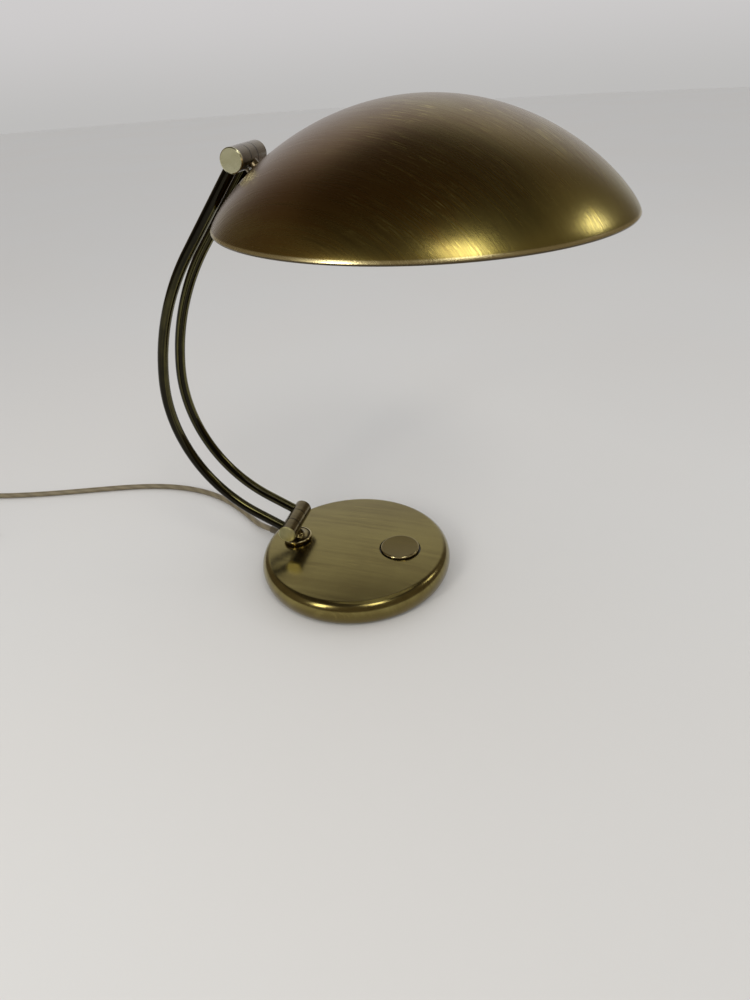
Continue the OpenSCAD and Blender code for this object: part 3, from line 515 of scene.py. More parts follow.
@dataclass(frozen=True)
class BareMetal:
    """Plated or cast metal with soft clouds and fine grain."""

    name: str
    colour: Colour
    shade: Colour
    roughness: float = 0.35
    grain: float = 900.0
    relief: float = 0.06

    def material(self) -> Material:
        """Builds the metal from two noises.

        Returns:
            The material.
        """
        g = Graph.surface(self.name)
        at = g.place()
        clouds = g.noise(at, 60.0, 4.0, 0.6)
        grain = g.noise(at, self.grain, 2.0, 0.6)
        colour = g.mix(g.between(clouds, *CLOUD), self.colour, self.shade)
        rough = self.roughness + grain * 0.18 - 0.09
        normal = g.bump(grain, self.relief, 0.4 * MM)
        return g.finish(Base_Color=colour, Metallic=1.0, Roughness=rough, Normal=normal)


@dataclass(frozen=True)
class Moulded:
    """Moulded rubber, resin, glaze or lacquer."""

    name: str
    colour: Colour
    shade: Colour
    roughness: float = 0.45
    relief: float = 0.05
    grain: float = 1400.0
    coat: float = 0.0
    clearness: float = 0.0

    def material(self) -> Material:
        """Builds the surface with faint clouds and an orange-peel grain.

        Returns:
            The material.
        """
        g = Graph.surface(self.name)
        at = g.place()
        clouds = g.noise(at, 45.0, 3.0, 0.5)
        grain = g.noise(at, self.grain, 2.0, 0.5)
        colour = g.mix(g.between(clouds, *CLOUD), self.colour, self.shade)
        return g.finish(
            Base_Color=colour,
            Roughness=self.roughness + clouds * 0.12 - 0.06,
            Coat_Weight=self.coat,
            Coat_Roughness=0.12,
            Subsurface_Weight=self.clearness,
            Subsurface_Scale=4 * MM,
            Normal=g.bump(grain, self.relief, 0.4 * MM),
        )


@dataclass(frozen=True)
class FeltPile:
    """Pressed wool felt, matt and mottled, with short loose hairs."""

    name: str = "foot_felt"
    colour: Colour = (0.035, 0.065, 0.042)
    fleck: Colour = (0.075, 0.11, 0.078)

    def material(self) -> Material:
        """Builds the felt from hair-like noise.

        Returns:
            The material.
        """
        g = Graph.surface(self.name)
        at = g.place()
        hair = g.noise(at, 1600.0, 5.0, 0.75)
        clouds = g.noise(at, 120.0, 3.0, 0.6)
        share = g.between(hair * 0.7 + clouds * 0.3, 0.4, 0.62)
        colour = g.mix(share, self.colour, self.fleck)
        normal = g.bump(hair, 0.5, 0.8 * MM)
        return g.finish(Base_Color=colour, Roughness=0.95, Normal=normal)


@dataclass(frozen=True)
class CordSleeve:
    """Gold-brown vinyl round two twisted cores, whose lay shows as long low swells."""

    name: str = "cord_sleeve"
    light: Colour = (0.20, 0.162, 0.095)
    dark: Colour = (0.15, 0.12, 0.068)
    twists_per_metre: float = 22.0

    def material(self) -> Material:
        """Builds the sleeve over the cord's UV: x round it, y metres along it.

        Returns:
            The material.
        """
        g = Graph.surface(self.name)
        round_it, along, _ = g.split(g.uv())
        turn = (round_it + along * self.twists_per_metre) * (2.0 * tau)
        swell = turn.maths("SINE") * 0.5 + 0.5
        grain = g.noise(g.join(round_it * 9.0, along * 420.0, 0.0), 1.0, 3.0, 0.6)
        clouds = g.noise(g.place(), 30.0, 3.0, 0.5)
        share = g.between(swell * 0.55 + clouds * 0.45 + grain * 0.2, 0.25, 0.9)
        colour = g.mix(share, self.dark, self.light)
        normal = g.bump(swell + grain * 0.12, 0.18, 0.3 * MM)
        return g.finish(Base_Color=colour, Roughness=0.40 + grain * 0.1, Normal=normal)


class Finish(Enum):
    """Every finish on the lamp, each built once when it is first asked for."""

    # The shade's colour also holds painted shade towards -X, a painted reflection and
    # highlight near its rim, and highlight streaks on its +X side.
    SHADE = BrushedBrass(
        "shade_brushed_brass", rubbed=(0.31, 0.255, 0.070),
        patina=(0.150, 0.072, 0.009), aged=0.86, painted_shade_along_x=1.5, roughness=0.245,
        brush_deg=-24.0, relief=0.09, coat=0.20, scratched=0.8,
        lit_scratches_from=(20 * MM, 110 * MM), edge_z=RIM_CENTRE[1],
    )
    # The base's colour is painted darker towards its foot, as painted shade.
    BASE = BrushedBrass(
        "base_brushed_brass", rubbed=(0.27, 0.222, 0.070), patina=(0.165, 0.125, 0.034),
        aged=0.45, brush_deg=-4.0, lines=520.0, roughness=0.18, coat=0.35,
        scratched=0.2, banded=0.8, foot_z=16.0 * MM,
    )
    ROSETTE = BrushedBrass(
        "rosette_brass", rubbed=(0.27, 0.215, 0.08), patina=(0.12, 0.09, 0.035),
        roughness=0.18, coat=0.4, worn_ring=(LOWER_AXIS[0], ROSETTE_DIAMETER / 2),
    )
    BUTTON = BrushedBrass(
        "button_brushed_brass", rubbed=(0.165, 0.125, 0.036),
        patina=(0.095, 0.070, 0.018), aged=0.50, brush_deg=-4.0, roughness=0.17,
        coat=0.25, scratched=0.2, worn_ring=(BUTTON_X, BUTTON_DIAMETER / 2),
    )
    LOWER_HINGE = TurnedBrass(
        "lower_hinge_brass", bright=(0.23, 0.185, 0.085), patina=(0.11, 0.083, 0.038),
        aged=0.55, roughness=0.24, mottle=0.6, grooves_at=9.05 * MM,
    )
    UPPER_HINGE = TurnedBrass(
        "upper_hinge_brass", bright=(0.21, 0.165, 0.095), patina=(0.12, 0.09, 0.052),
        aged=0.55, roughness=0.27, mottle=0.6, grooves_at=7.05 * MM,
    )
    NECK = TurnedBrass(
        "neck_brass", bright=(0.22, 0.175, 0.08), patina=(0.11, 0.085, 0.04),
    )
    # The upper cap is a lighter copy of the cap brass, a painted reflection of the
    # bright room.
    UPPER_CAP = TurnedBrass(
        "upper_cap_lit_brass", bright=(0.54, 0.52, 0.34), patina=(0.36, 0.34, 0.19),
        aged=0.45, roughness=0.24, rim=(*UPPER_AXIS, 9.6 * MM),
    )
    # The lower cap is a darker copy of the same brass, painted shade that hides its
    # reflection of the floor.
    LOWER_CAP = TurnedBrass(
        "lower_cap_shaded_brass", bright=(0.33, 0.305, 0.15), patina=(0.19, 0.165, 0.07),
        aged=0.50, roughness=0.42, rim=(*LOWER_AXIS, 9.15 * MM),
    )
    # The arms' brass is darkened to near black as painted shade for their dark
    # reflections; its ring noise runs as long lines along the tubes, drawn-tube streaks
    # that also paint reflection lines.
    ARM = TurnedBrass(
        "arm_dark_brass", bright=(0.160, 0.145, 0.048), patina=(0.011, 0.009, 0.004),
        aged=0.66, roughness=0.08, rings=480.0, grain=2.5, ring_and_sheen_share=1.8, mottle=0.2,
        coat=0.2,
    )
    STEEL = BareMetal("plated_steel", (0.62, 0.61, 0.58), (0.50, 0.49, 0.46), 0.30)
    IRON = BareMetal(
        "cast_iron", (0.075, 0.075, 0.078), (0.045, 0.045, 0.048), 0.62, 500.0, 0.35,
    )
    BAKELITE = Moulded(
        "black_bakelite", (0.022, 0.018, 0.016), (0.035, 0.027, 0.022), 0.28,
    )
    FIBRE = Moulded("fibre_washer", (0.03, 0.022, 0.018), (0.05, 0.035, 0.025), 0.75)
    PORCELAIN = Moulded(
        "white_porcelain", (0.80, 0.78, 0.73), (0.74, 0.72, 0.67), 0.22, 0.03, coat=0.4,
    )
    ENAMEL = Moulded(
        "white_shade_lacquer", (0.80, 0.785, 0.74), (0.75, 0.735, 0.69), 0.42, 0.05,
        800.0,
    )
    OPAL = Moulded(
        "opal_glass", (0.86, 0.85, 0.82), (0.82, 0.81, 0.78), 0.25, 0.02, coat=0.5,
        clearness=0.3,
    )
    RUBBER = Moulded(
        "black_rubber", (0.020, 0.019, 0.018), (0.030, 0.028, 0.027), 0.55, 0.12,
    )
    VINYL = Moulded(
        "brown_vinyl", (0.085, 0.067, 0.038), (0.065, 0.05, 0.028), 0.42, 0.08,
    )
    FELT = FeltPile()
    CORD = CordSleeve()
    LEAD = Moulded("lead_insulation", (0.30, 0.26, 0.20), (0.25, 0.21, 0.16), 0.40)
    CONTACT = BareMetal("nickel_contact", (0.70, 0.66, 0.58), (0.60, 0.56, 0.48), 0.24)

    def material(self) -> Material:
        """The finish's material, made on first use."""
        made = bpy.data.materials.get(self.value.name)
        return made or self.value.material()


# ---- Mesh helpers ----------------------------------------------------------


def linked(name: str, data: ID) -> Object:
    """Makes an object of some data and links it to the scene."""
    made = bpy.data.objects.new(name, data)
    bpy.context.scene.collection.objects.link(made)
    return made


def declare(piece: Object, body: str, slot: str, *nodes: str) -> None:
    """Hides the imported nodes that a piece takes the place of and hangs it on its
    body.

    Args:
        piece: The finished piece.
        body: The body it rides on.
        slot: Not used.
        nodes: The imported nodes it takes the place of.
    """
    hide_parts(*nodes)
    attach(piece, body)


def standing(x: float, z: float = 0.0) -> Matrix:
    """An upright place on the lamp's middle plane."""
    return Matrix.Translation((x, 0.0, z))


def arc(
    centre: Sequence[float], rx: float, ry: float, start: float, end: float, steps: int
) -> Outline:
    """Points on an elliptical arc, angles in degrees from the first axis."""
    x, y = centre
    turns = (radians(start + (end - start) * i / steps) for i in range(steps + 1))
    return [(x + rx * cos(a), y + ry * sin(a)) for a in turns]


def eased(corners: Outline, radius: float) -> Outline:
    """Rounds the inner corners of an open outline.

    Args:
        corners: The outline's corners; the first and the last stay sharp.
        radius: The rounding, which short sides make smaller.

    Returns:
        The rounded outline.
    """
    steps = 4
    made = [corners[0]]
    for before, corner, after in zip(corners, corners[1:], corners[2:]):
        c = Vector(corner)
        into = Vector(before) - c
        away = Vector(after) - c
        cut = min(radius, into.length * 0.45, away.length * 0.45)
        a = c + into.normalized() * cut
        b = c + away.normalized() * cut
        for i in range(steps + 1):
            t = i / steps
            p = a.lerp(c, t).lerp(c.lerp(b, t), t)
            made.append((p.x, p.y))
    made.append(corners[-1])
    return made


def shown(
    mesh: Mesh, name: str, finish: Finish, smooth_deg: float = 32.0
) -> Object:
    """Links a mesh as a piece, shaded smooth but for its sharp edges.

    Args:
        mesh: The piece's mesh, in its place.
        name: The piece's name.
        finish: What it is made of.
        smooth_deg: The angle above which an edge stays sharp.

    Returns:
        The piece.
    """
    mesh.name = name
    made = linked(name, mesh)
    mesh.materials.clear()
    mesh.materials.append(finish.material())
    mesh.shade_smooth()
    mesh.set_sharp_from_angle(angle=radians(smooth_deg))
    return made


def baked(made: bmesh.types.BMesh) -> Mesh:
    """Turns a bmesh into a plain mesh and frees it.

    Args:
        made: The bmesh.

    Returns:
        The mesh.
    """
    mesh = bpy.data.meshes.new("baked")
    made.to_mesh(mesh)
    made.free()
    return mesh


def spun(
    outline: Outline,
    place: Matrix = Matrix.Identity(4),
    steps: int = 96,
    closed: bool = False,
) -> Mesh:
    """Spins an outline of (radius, height) points round the Z axis of a place.

    Args:
        outline: The points; where it isn't closed it starts and ends on the axis.
        place: Where the axis stands in the lamp's frame.
        steps: Stretches round the axis.
        closed: Whether the last point joins the first, as in a ring.

    Returns:
        A closed mesh with its faces outwards.
    """
    made = bmesh.new()
    rings = []
    for radius, height in outline:
        count = 1 if radius < 1e-7 else steps
        ring = []
        for k in range(count):
            a = tau * k / steps
            point = Vector((radius * cos(a), radius * sin(a), height))
            ring.append(made.verts.new(place @ point))
        rings.append(ring)
    pairs = list(zip(rings, rings[1:]))
    if closed:
        pairs.append((rings[-1], rings[0]))
    for low, high in pairs:
        for k in range(steps):
            corners = [low[k % len(low)], low[(k + 1) % len(low)]]
            corners += [high[(k + 1) % len(high)], high[k % len(high)]]
            corners = list(dict.fromkeys(corners))
            if len(corners) > 2:
                made.faces.new(corners)
    bmesh.ops.recalc_face_normals(made, faces=made.faces)
    return baked(made)


def cut(piece: Object, cutters: Iterable[Mesh]) -> None:
    """Takes cutters out of a piece's mesh with exact booleans.

    Args:
        piece: The piece that is cut.
        cutters: The meshes that are taken out of it.
    """
    for cutter in cutters:
        tool = linked("cutter", cutter)
        modifier = piece.modifiers.new("cut", "BOOLEAN")
        modifier.object = tool
        modifier.solver = "EXACT"
        settle(piece)
        bpy.data.objects.remove(tool)


def evaluated(piece: Object) -> Mesh:
    """A plain mesh of what a piece's modifiers make of it."""
    graph = bpy.context.evaluated_depsgraph_get()
    return bpy.data.meshes.new_from_object(piece.evaluated_get(graph))


def settle(piece: Object) -> None:
    """Gives a piece its evaluated shape as a plain mesh and drops the modifiers.

    Args:
        piece: The piece, whose old mesh goes if nothing else uses it.
    """
    mesh = evaluated(piece)
    old = piece.data
    piece.modifiers.clear()
    piece.data = mesh
    mesh.name = piece.name
    if old.users == 0:
        bpy.data.meshes.remove(old)


def cylinder(
    radius: float, low: float, high: float, place: Matrix, steps: int = 64
) -> Mesh:
    """A plain closed cylinder along a place's Z axis."""
    return spun([(0.0, low), (radius, low), (radius, high), (0.0, high)], place, steps)


def swept(path: Sequence[Vector], radius: float, sides: int) -> Mesh:
    """Sweeps a round tube along a path without twist, with flat closed ends.

    Args:
        path: The centreline.
        radius: The tube's radius.
        sides: Faces round the tube.

    Returns:
        A mesh whose UV map holds the share round the tube and the metres along it.
    """
    made = bmesh.new()
    layer = made.loops.layers.uv.new("UVMap")
    last = len(path) - 1
    tangent = (path[1] - path[0]).normalized()
    side = tangent.cross(Vector((0, 0, 1))).normalized()
    rings, walked = [], [0.0]
    for i, point in enumerate(path):
        heading = (path[min(i + 1, last)] - path[max(i - 1, 0)]).normalized()
        side = (side - heading * side.dot(heading)).normalized()
        up = side.cross(heading)
        angles = (tau * k / sides for k in range(sides))
        ring = (point + (side * cos(a) + up * sin(a)) * radius for a in angles)
        rings.append([made.verts.new(p) for p in ring])
        if i:
            walked.append(walked[-1] + (point - path[i - 1]).length)
    for i in range(last):
        for k in range(sides):
            j = (k + 1) % sides
            low, high = rings[i], rings[i + 1]
            face = made.faces.new((low[k], low[j], high[j], high[k]))
            marks = ((k, i), (k + 1, i), (k + 1, i + 1), (k, i + 1))
            for loop, (m, n) in zip(face.loops, marks):
                loop[layer].uv = (m / sides, walked[n])
    for ring in (rings[0][::-1], rings[-1]):
        made.faces.new(ring)
    bmesh.ops.recalc_face_normals(made, faces=made.faces)
    return baked(made)


def joined(*meshes: Mesh) -> Mesh:
    """Puts several meshes into one and removes them.

    Args:
        meshes: What is put together.

    Returns:
        The one mesh.
    """
    made = bmesh.new()
    for mesh in meshes:
        made.from_mesh(mesh)
        bpy.data.meshes.remove(mesh)
    return baked(made)


def through(points: Sequence[Vector], steps: int) -> list[Vector]:
    """Draws a smooth Catmull-Rom curve through points.

    Args:
        points: What the curve goes through.
        steps: Stretches between two of them.

    Returns:
        The curve's points.
    """
    made = []
    for i, (b, c) in enumerate(zip(points, points[1:])):
        a = points[i - 1] if i else 2 * b - c
        d = points[i + 2] if i + 2 < len(points) else 2 * c - b
        for j in range(steps):
            u = j / steps
            bend = (c - a) * u + (2 * a - 5 * b + 4 * c - d) * u * u
            made.append(0.5 * (2 * b + bend + (3 * b - a - 3 * c + d) * u**3))
    made.append(points[-1].copy())
    return made


# ---- Geometry Nodes --------------------------------------------------------


class Recipe(NodeTree):
    """A Geometry Nodes tree with named inputs, run on a piece to a plain mesh."""

    prefix = "GeometryNode"

    def __init__(self, name: str, **inputs: str) -> None:
        """Starts a tree.

        Args:
            name: The tree's name.
            inputs: Each input's socket type by its name, with _ for each space.
        """
        super().__init__(bpy.data.node_groups.new(name, "GeometryNodeTree"))
        interface = self.tree.interface
        for way in ("OUTPUT", "INPUT"):
            interface.new_socket(
                "Geometry", in_out=way, socket_type="NodeSocketGeometry"
            )
        self.keys = {}
        for key, kind in inputs.items():
            socket = interface.new_socket(
                key.replace("_", " "), in_out="INPUT", socket_type="NodeSocket" + kind
            )
            self.keys[key] = socket.identifier
        self.entry = self.tree.nodes.new("NodeGroupInput")
        self.exit = self.tree.nodes.new("NodeGroupOutput")

    def given(self, key: str) -> NodeSocket:
        """The tree's input of that name."""
        return self.entry.outputs[key]

    def end(self, geometry: Node) -> "Recipe":
        """Closes the tree, with instances realised and the material set.

        Args:
            geometry: The node whose first output is the finished shape.

        Returns:
            The recipe itself.
        """
        real = self.node("RealizeInstances", None, {0: geometry.outputs[0]})
        values = {"Geometry": real.outputs[0], "Material": self.given("Finish")}
        dressed = self.node("SetMaterial", None, values)
        self.tree.links.new(dressed.outputs[0], self.exit.inputs[0])
        return self

    def run(self, piece: Object, **values: object) -> Object:
        """Runs the tree on a piece.

        Args:
            piece: The mesh or curve that the tree starts from.
            values: The tree's inputs by name, with _ for each space.

        Returns:
            A new mesh piece in the first one's place.
        """
        modifier = piece.modifiers.new(self.tree.name, "NODES")
        modifier.node_group = self.tree
        for key, value in values.items():
            modifier[self.keys[key]] = value
        mesh = evaluated(piece)
        name = piece.name
        bpy.data.objects.remove(piece)
        return linked(name, mesh)


def tube_recipe() -> Recipe:
    """Makes a round tube with closed ends along the piece's own curve.

    Returns:
        The recipe.
    """
    r = Recipe("tube_on_path", Tube_radius="Float", Sides="Int", Finish="Material")
    values = {"Resolution": r.given("Sides"), "Radius": r.given("Tube radius")}
    profile = r.node("CurvePrimitiveCircle", {"mode": "RADIUS"}, values)
    values = {
        "Curve": r.given("Geometry"),
        "Profile Curve": profile.outputs[0],
        "Fill Caps": True,
    }
    return r.end(r.node("CurveToMesh", None, values))


def ring_of_ribs_recipe() -> Recipe:
    """Sets upright ribs round a circle in the piece's own XY plane.

    Returns:
        The recipe.
    """
    r = Recipe(
        "ring_of_ribs",
        Ribs="Int",
        Circle_radius="Float",
        Rib_radius="Float",
        Rib_length="Float",
        Finish="Material",
    )
    values = {"Vertices": r.given("Ribs"), "Radius": r.given("Circle radius")}
    circle = r.node("MeshCircle", None, values)
    values = {
        "Vertices": 8,
        "Side Segments": 1,
        "Radius": r.given("Rib radius"),
        "Depth": r.given("Rib length"),
    }
    rib = r.node("MeshCylinder", None, values)
    values = {"Points": circle.outputs[0], "Instance": rib.outputs[0]}
    return r.end(r.node("InstanceOnPoints", None, values))


# ---- Camera, floor and light -----------------------------------------------


@dataclass
class Studio:
    """A pale floor, soft lamps and the camera that looks at the lamp."""

    eye: tuple[float, float, float] = (0.19105, -0.57750, 0.46595)
    yaw: float = -0.28
    pitch: float = 0.563
    roll: float = -0.065
    lens_mm: float = 25.065
    sensor_mm: float = 36.0
    floor_radius: float = 9.0
    pale_side: Colour = (0.62, 0.605, 0.605)
    pale_foot: Colour = (0.512, 0.506, 0.498)
    ceiling: Colour = (0.050, 0.037, 0.025)
    dim_side: Colour = (0.150, 0.118, 0.080)
    floor_colour: Colour = (0.64, 0.625, 0.61)
    floor_depth: float = 20 * MM
    lamp_colour: Colour = (1.0, 0.99, 0.93)
    lamps_aim: tuple[float, float, float] = (0.02, 0.0, 0.25)
    world_light: float = 0.80
    pale_way: tuple[float, float] = (-0.24, 0.97)
    pale_span: tuple[float, float] = (0.70, 0.97)
    ceiling_span: tuple[float, float] = (0.66, 0.82)
    horizon_span: tuple[float, float] = (-0.06, 0.08)

    def camera(self) -> None:
        """Sets the camera at the photograph's viewing angle."""
        data = bpy.data.cameras.new("camera")
        data.lens = self.lens_mm
        data.sensor_fit = "VERTICAL"
        data.sensor_height = self.sensor_mm
        data.clip_start = 0.01
        made = linked("camera", data)
        level = Vector((sin(self.yaw), cos(self.yaw), 0.0))
        ahead = level * cos(self.pitch) - Vector((0.0, 0.0, sin(self.pitch)))
        right = Vector((cos(self.yaw), -sin(self.yaw), 0.0))
        up = right.cross(ahead)
        across = right * cos(self.roll) + up * sin(self.roll)
        upward = up * cos(self.roll) - right * sin(self.roll)
        turn = Matrix((across, upward, -ahead)).transposed().to_4x4()
        made.matrix_world = Matrix.Translation(self.eye) @ turn
        bpy.context.scene.camera = made

    def floor(self) -> None:
        """Lays the floor as one large disc."""
        mesh = cylinder(self.floor_radius, -self.floor_depth, 0.0, standing(0.0), 96)
        made = linked("floor", mesh)
        g = Graph.surface("pale_floor")
        at = g.place()
        clouds = g.noise(at, 1.6, 3.0, 0.5)
        speck = g.noise(at, 500.0, 2.0, 0.6)
        red, green, blue = self.floor_colour
        share = g.between(clouds * 0.8 + speck * 0.2, 0.35, 0.65)
        colour = g.mix(share, self.floor_colour, (red, green * 0.99, blue * 0.98))
        mesh.materials.append(g.finish(Base_Color=colour, Roughness=0.85))

    def lamp(
        self,
        name: str,
        azimuth: float,
        elevation: float,
        away: float,
        size: tuple[float, float],
        power: float,
    ) -> None:
        """Hangs one soft lamp that faces the middle of the object.

        Args:
            name: The lamp's name.
            azimuth: Its direction in degrees from +Y towards +X.
            elevation: Its height above the horizon in degrees.
            away: Its distance.
            size: Its width and height.
            power: Its power in watts.
        """
        a, e = radians(azimuth), radians(elevation)
        out = Vector((sin(a), cos(a), 0.0)) * cos(e)
        out.z = sin(e)
        data = bpy.data.lights.new(name, "AREA")
        data.shape = "RECTANGLE"
        data.size, data.size_y = size
        data.energy = power
        data.color = self.lamp_colour
        made = linked(name, data)
        made.visible_camera = False
        made.location = Vector(self.lamps_aim) + out * away
        made.rotation_mode = "QUATERNION"
        made.rotation_quaternion = out.to_track_quat("Z", "Y")

    def world(self) -> None:
        """Lights evenly; metal sees a pale side behind and a dim one before it."""
        scene = bpy.context.scene
        scene.view_settings.view_transform = "Standard"
        scene.world = bpy.data.worlds.new("studio")
        g = Graph(scene.world)
        side, back, high = g.split(g.out(g.node("TexCoord"), "Generated"))
        level = (side * side + back * back + 1e-6).maths("SQRT")
        way_x, way_y = self.pale_way
        facing = (back * way_y + side * way_x) / level
        front = 1.0 - g.between(facing, *self.pale_span)
        around = g.mix(front, self.pale_side, self.dim_side)
        reflected = g.mix(g.between(high, *self.ceiling_span), around, self.ceiling)
        share = g.between(high, *self.horizon_span)
        backdrop = g.mix(share, self.pale_foot, self.pale_side)
        rays = g.node("LightPath")
        straight = g.out(rays, "Is Camera Ray")
        clear = g.out(rays, "Is Transmission Ray")
        mirrored = g.out(rays, "Is Glossy Ray").maths("MAXIMUM", clear)
        sky = g.node("Background", None, {"Color": backdrop})
        seen = g.node("Background", None, {"Color": reflected})
        values = {"Color": (0.98, 0.99, 1.0, 1.0), "Strength": self.world_light}
        light = g.node("Background", None, values)
        values = {0: mirrored, 1: g.out(light), 2: g.out(seen)}
        inner = g.node("MixShader", None, values)
        values = {0: straight, 1: g.out(inner), 2: g.out(sky)}
        both = g.node("MixShader", None, values)
        g.node("OutputWorld", None, {0: g.out(both)})

    def build(self) -> None:
        """Sets up the camera, the floor and the light."""
        self.camera()
        self.floor()
        self.world()
        self.lamp("key_lamp", 142.0, 49.0, 2.1, (0.60, 0.75), 7.0)
        self.lamp("left_lamp", -151.0, 24.0, 1.4, (0.26, 0.50), 4.8)
        self.lamp("right_lamp", 64.0, 29.0, 2.2, (0.4, 0.4), 2.2)


# ---- Cord ------------------------------------------------------------------


@dataclass
class FlexCord:
    """The mains cord: a run on the floor, a two-layer coil and a tail that ends at the
    plug's height.
    """

    diameter: float = 6.5 * MM
    relief_end: float = 120.8 * MM
    lay: float = 3.8 * MM
    coil_middle: tuple[float, float] = (-574 * MM, 5.5 * MM)
    coil_turns: float = 2.75
    coil_pitch: float = 7.4 * MM
    coil_layer: float = 7.2 * MM
    coil_radius: float = 47 * MM
    coil_soft: float = 0.1
    plug_z: float = 6.95 * MM
    tail: float = 42 * MM
    sides: int = 16
    run_steps: int = 8
    turn_steps: int = 48
    tail_steps: int = 12
    route_mm: tuple[tuple[float, float, float], ...] = (
        (-125, 44.2, 6.4), (-136, 51.4, 4.7), (-148, 61, 3.6), (-165, 74.5, 3.3),
        (-186, 89, 3.3), (-209, 101.5, 3.3), (-234, 110.5, 3.3), (-261, 115.5, 3.3),
        (-290, 116, 3.3), (-320, 112, 3.3), (-350, 104.5, 3.3), (-380, 95, 3.3),
        (-410, 85, 3.3), (-440, 75.5, 3.3), (-470, 67, 3.3), (-500, 60, 3.3),
        (-533, 54.6, 3.6), (-567.5, 52.5, 3.8),
    )

    def exit(self) -> Vector:
        """The point where the cord leaves its strain relief."""
        a = radians(CORD_EXIT_DEG)
        r = self.relief_end
        return Vector((r * cos(a), r * sin(a), CORD_EXIT_Z))

    def coil_point(self, u: float) -> Vector:
        """A point of the coil's centreline.

        Args:
            u: Turns from where the spiral reverses.

        Returns:
            The point.
        """
        soft = self.coil_soft**2
        reach = sqrt(self.coil_turns**2 + soft) - sqrt(u * u + soft)
        r = self.coil_radius - self.coil_pitch * reach
        s = min(1.0, max(0.0, 2 * u + 0.5))
        a = radians(90) + tau * (u + self.coil_turns)
        x, y = self.coil_middle
        climb = self.coil_layer * s * s * (3 - 2 * s)
        return Vector((x + r * cos(a), y + r * sin(a), self.lay + climb))

    def centreline(self) -> list[Vector]:
        """The whole cord from its strain relief to its plug.

        Returns:
            The points of its middle line.
        """
        points = [self.exit()] + [Vector(p) * MM for p in self.route_mm]
        run = through(points, self.run_steps)
        turns = 2 * self.coil_turns
        last = round(turns * self.turn_steps)
        share = (turns * i / last - self.coil_turns for i in range(last + 1))
        coil = [self.coil_point(u) for u in share]
        ahead = Vector((1.0, 0.0, 0.0))
        leave = coil[-1] + ahead * self.diameter
        end = leave + ahead * self.tail
        tail = []
        for i in range(self.tail_steps + 1):
            u = i / self.tail_steps
            s = u * u * (3 - 2 * u)
            p = leave.lerp(end, u)
            p.z = leave.z + (self.plug_z - leave.z) * s
            tail.append(p)
        return run + coil + tail

    def build(self, nodes: dict[str, Object]) -> None:
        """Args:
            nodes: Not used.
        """
        path = self.centreline()
        mesh = swept(path, self.diameter / 2, self.sides)
        cord = shown(mesh, "mains_cord", Finish.CORD, 60.0)
        length = sum((b - a).length for a, b in zip(path, path[1:]))
        log.info("cord length %.4f m", length)
        declare(cord, "base", "cord", "cord_run", "cord_coil", "cord_tail")
        self.exit()


# ---- Shade -----------------------------------------------------------------


@dataclass
class DomeShade:
    """The spun dome with its rolled hem, brass outside and white inside."""

    diameter: float = 330 * MM
    height: float = 81.5 * MM
    fullness: float = 1.618
    wall: float = 0.8 * MM
    hem: float = 2.6 * MM
    rings: int = 90
    steps: int = 256
    last_deg: float = 88.0
    roll_deg: float = -255.0
    focus_drop: float = 50 * MM

    def point(self, deg: float) -> Vector:
        """A point of the dome's outline.

        Args:
            deg: The place, from 0 at its top to 90 at its rim.

        Returns:
            The distance from the axis and the height over the rim.
        """
        a = radians(deg)
        up = self.height * max(cos(a), 0.0) ** self.fullness
        return Vector((self.diameter / 2 * sin(a), up))

    def normal(self, deg: float) -> Vector:
        """The outline's outward direction.

        Args:
            deg: The place, from 0 at its top to 90 at its rim.

        Returns:
            The direction, of length 1.
        """
        a = radians(deg)
        run = self.diameter / 2 * cos(a)
        fall = self.height * self.fullness * sin(a)
        fall *= cos(a) ** (self.fullness - 1)
        return Vector((fall, run)).normalized()

    def build(self) -> None:
        """Spins the shell, with its hem as a roll at the rim."""
        steps = range(self.rings + 1)
        places = [self.last_deg * sin(pi / 2 * i / self.rings) for i in steps]
        outer = [tuple(self.point(t)) for t in places]
        r = self.hem / 2
        roll = arc((self.diameter / 2 - r, 0.0), r, r, 0, self.roll_deg, 20)
        inner = [self.point(t) - self.wall * self.normal(t) for t in places[::-1]]
        inside = [(p.x, p.y) for p in inner if p.y > 0.6 * self.hem]
        outline = outer + roll + inside[:-1] + [(0.0, self.height - self.wall)]
        mesh = spun(outline, standing(*RIM_CENTRE), self.steps)
        shell = shown(mesh, "dome_shell", Finish.SHADE, 60.0)
        mesh.materials.append(Finish.ENAMEL.material())
        self.paint_inside(mesh)
        declare(shell, "shade", "shade_brass", "shade_shell")

    def paint_inside(self, mesh: Mesh) -> None:
        """Gives the faces that look into the dome the second material.

        Args:
            mesh: The shell's mesh.
        """
        x, z = RIM_CENTRE
        focus = Vector((x, 0.0, z - self.focus_drop))
        limit = z + 0.9 * self.hem
        for face in mesh.polygons:
            inward = face.normal.dot(focus - face.center) > 0
            face.material_index = int(inward and face.center.z > limit)


# ---- Arms ------------------------------------------------------------------


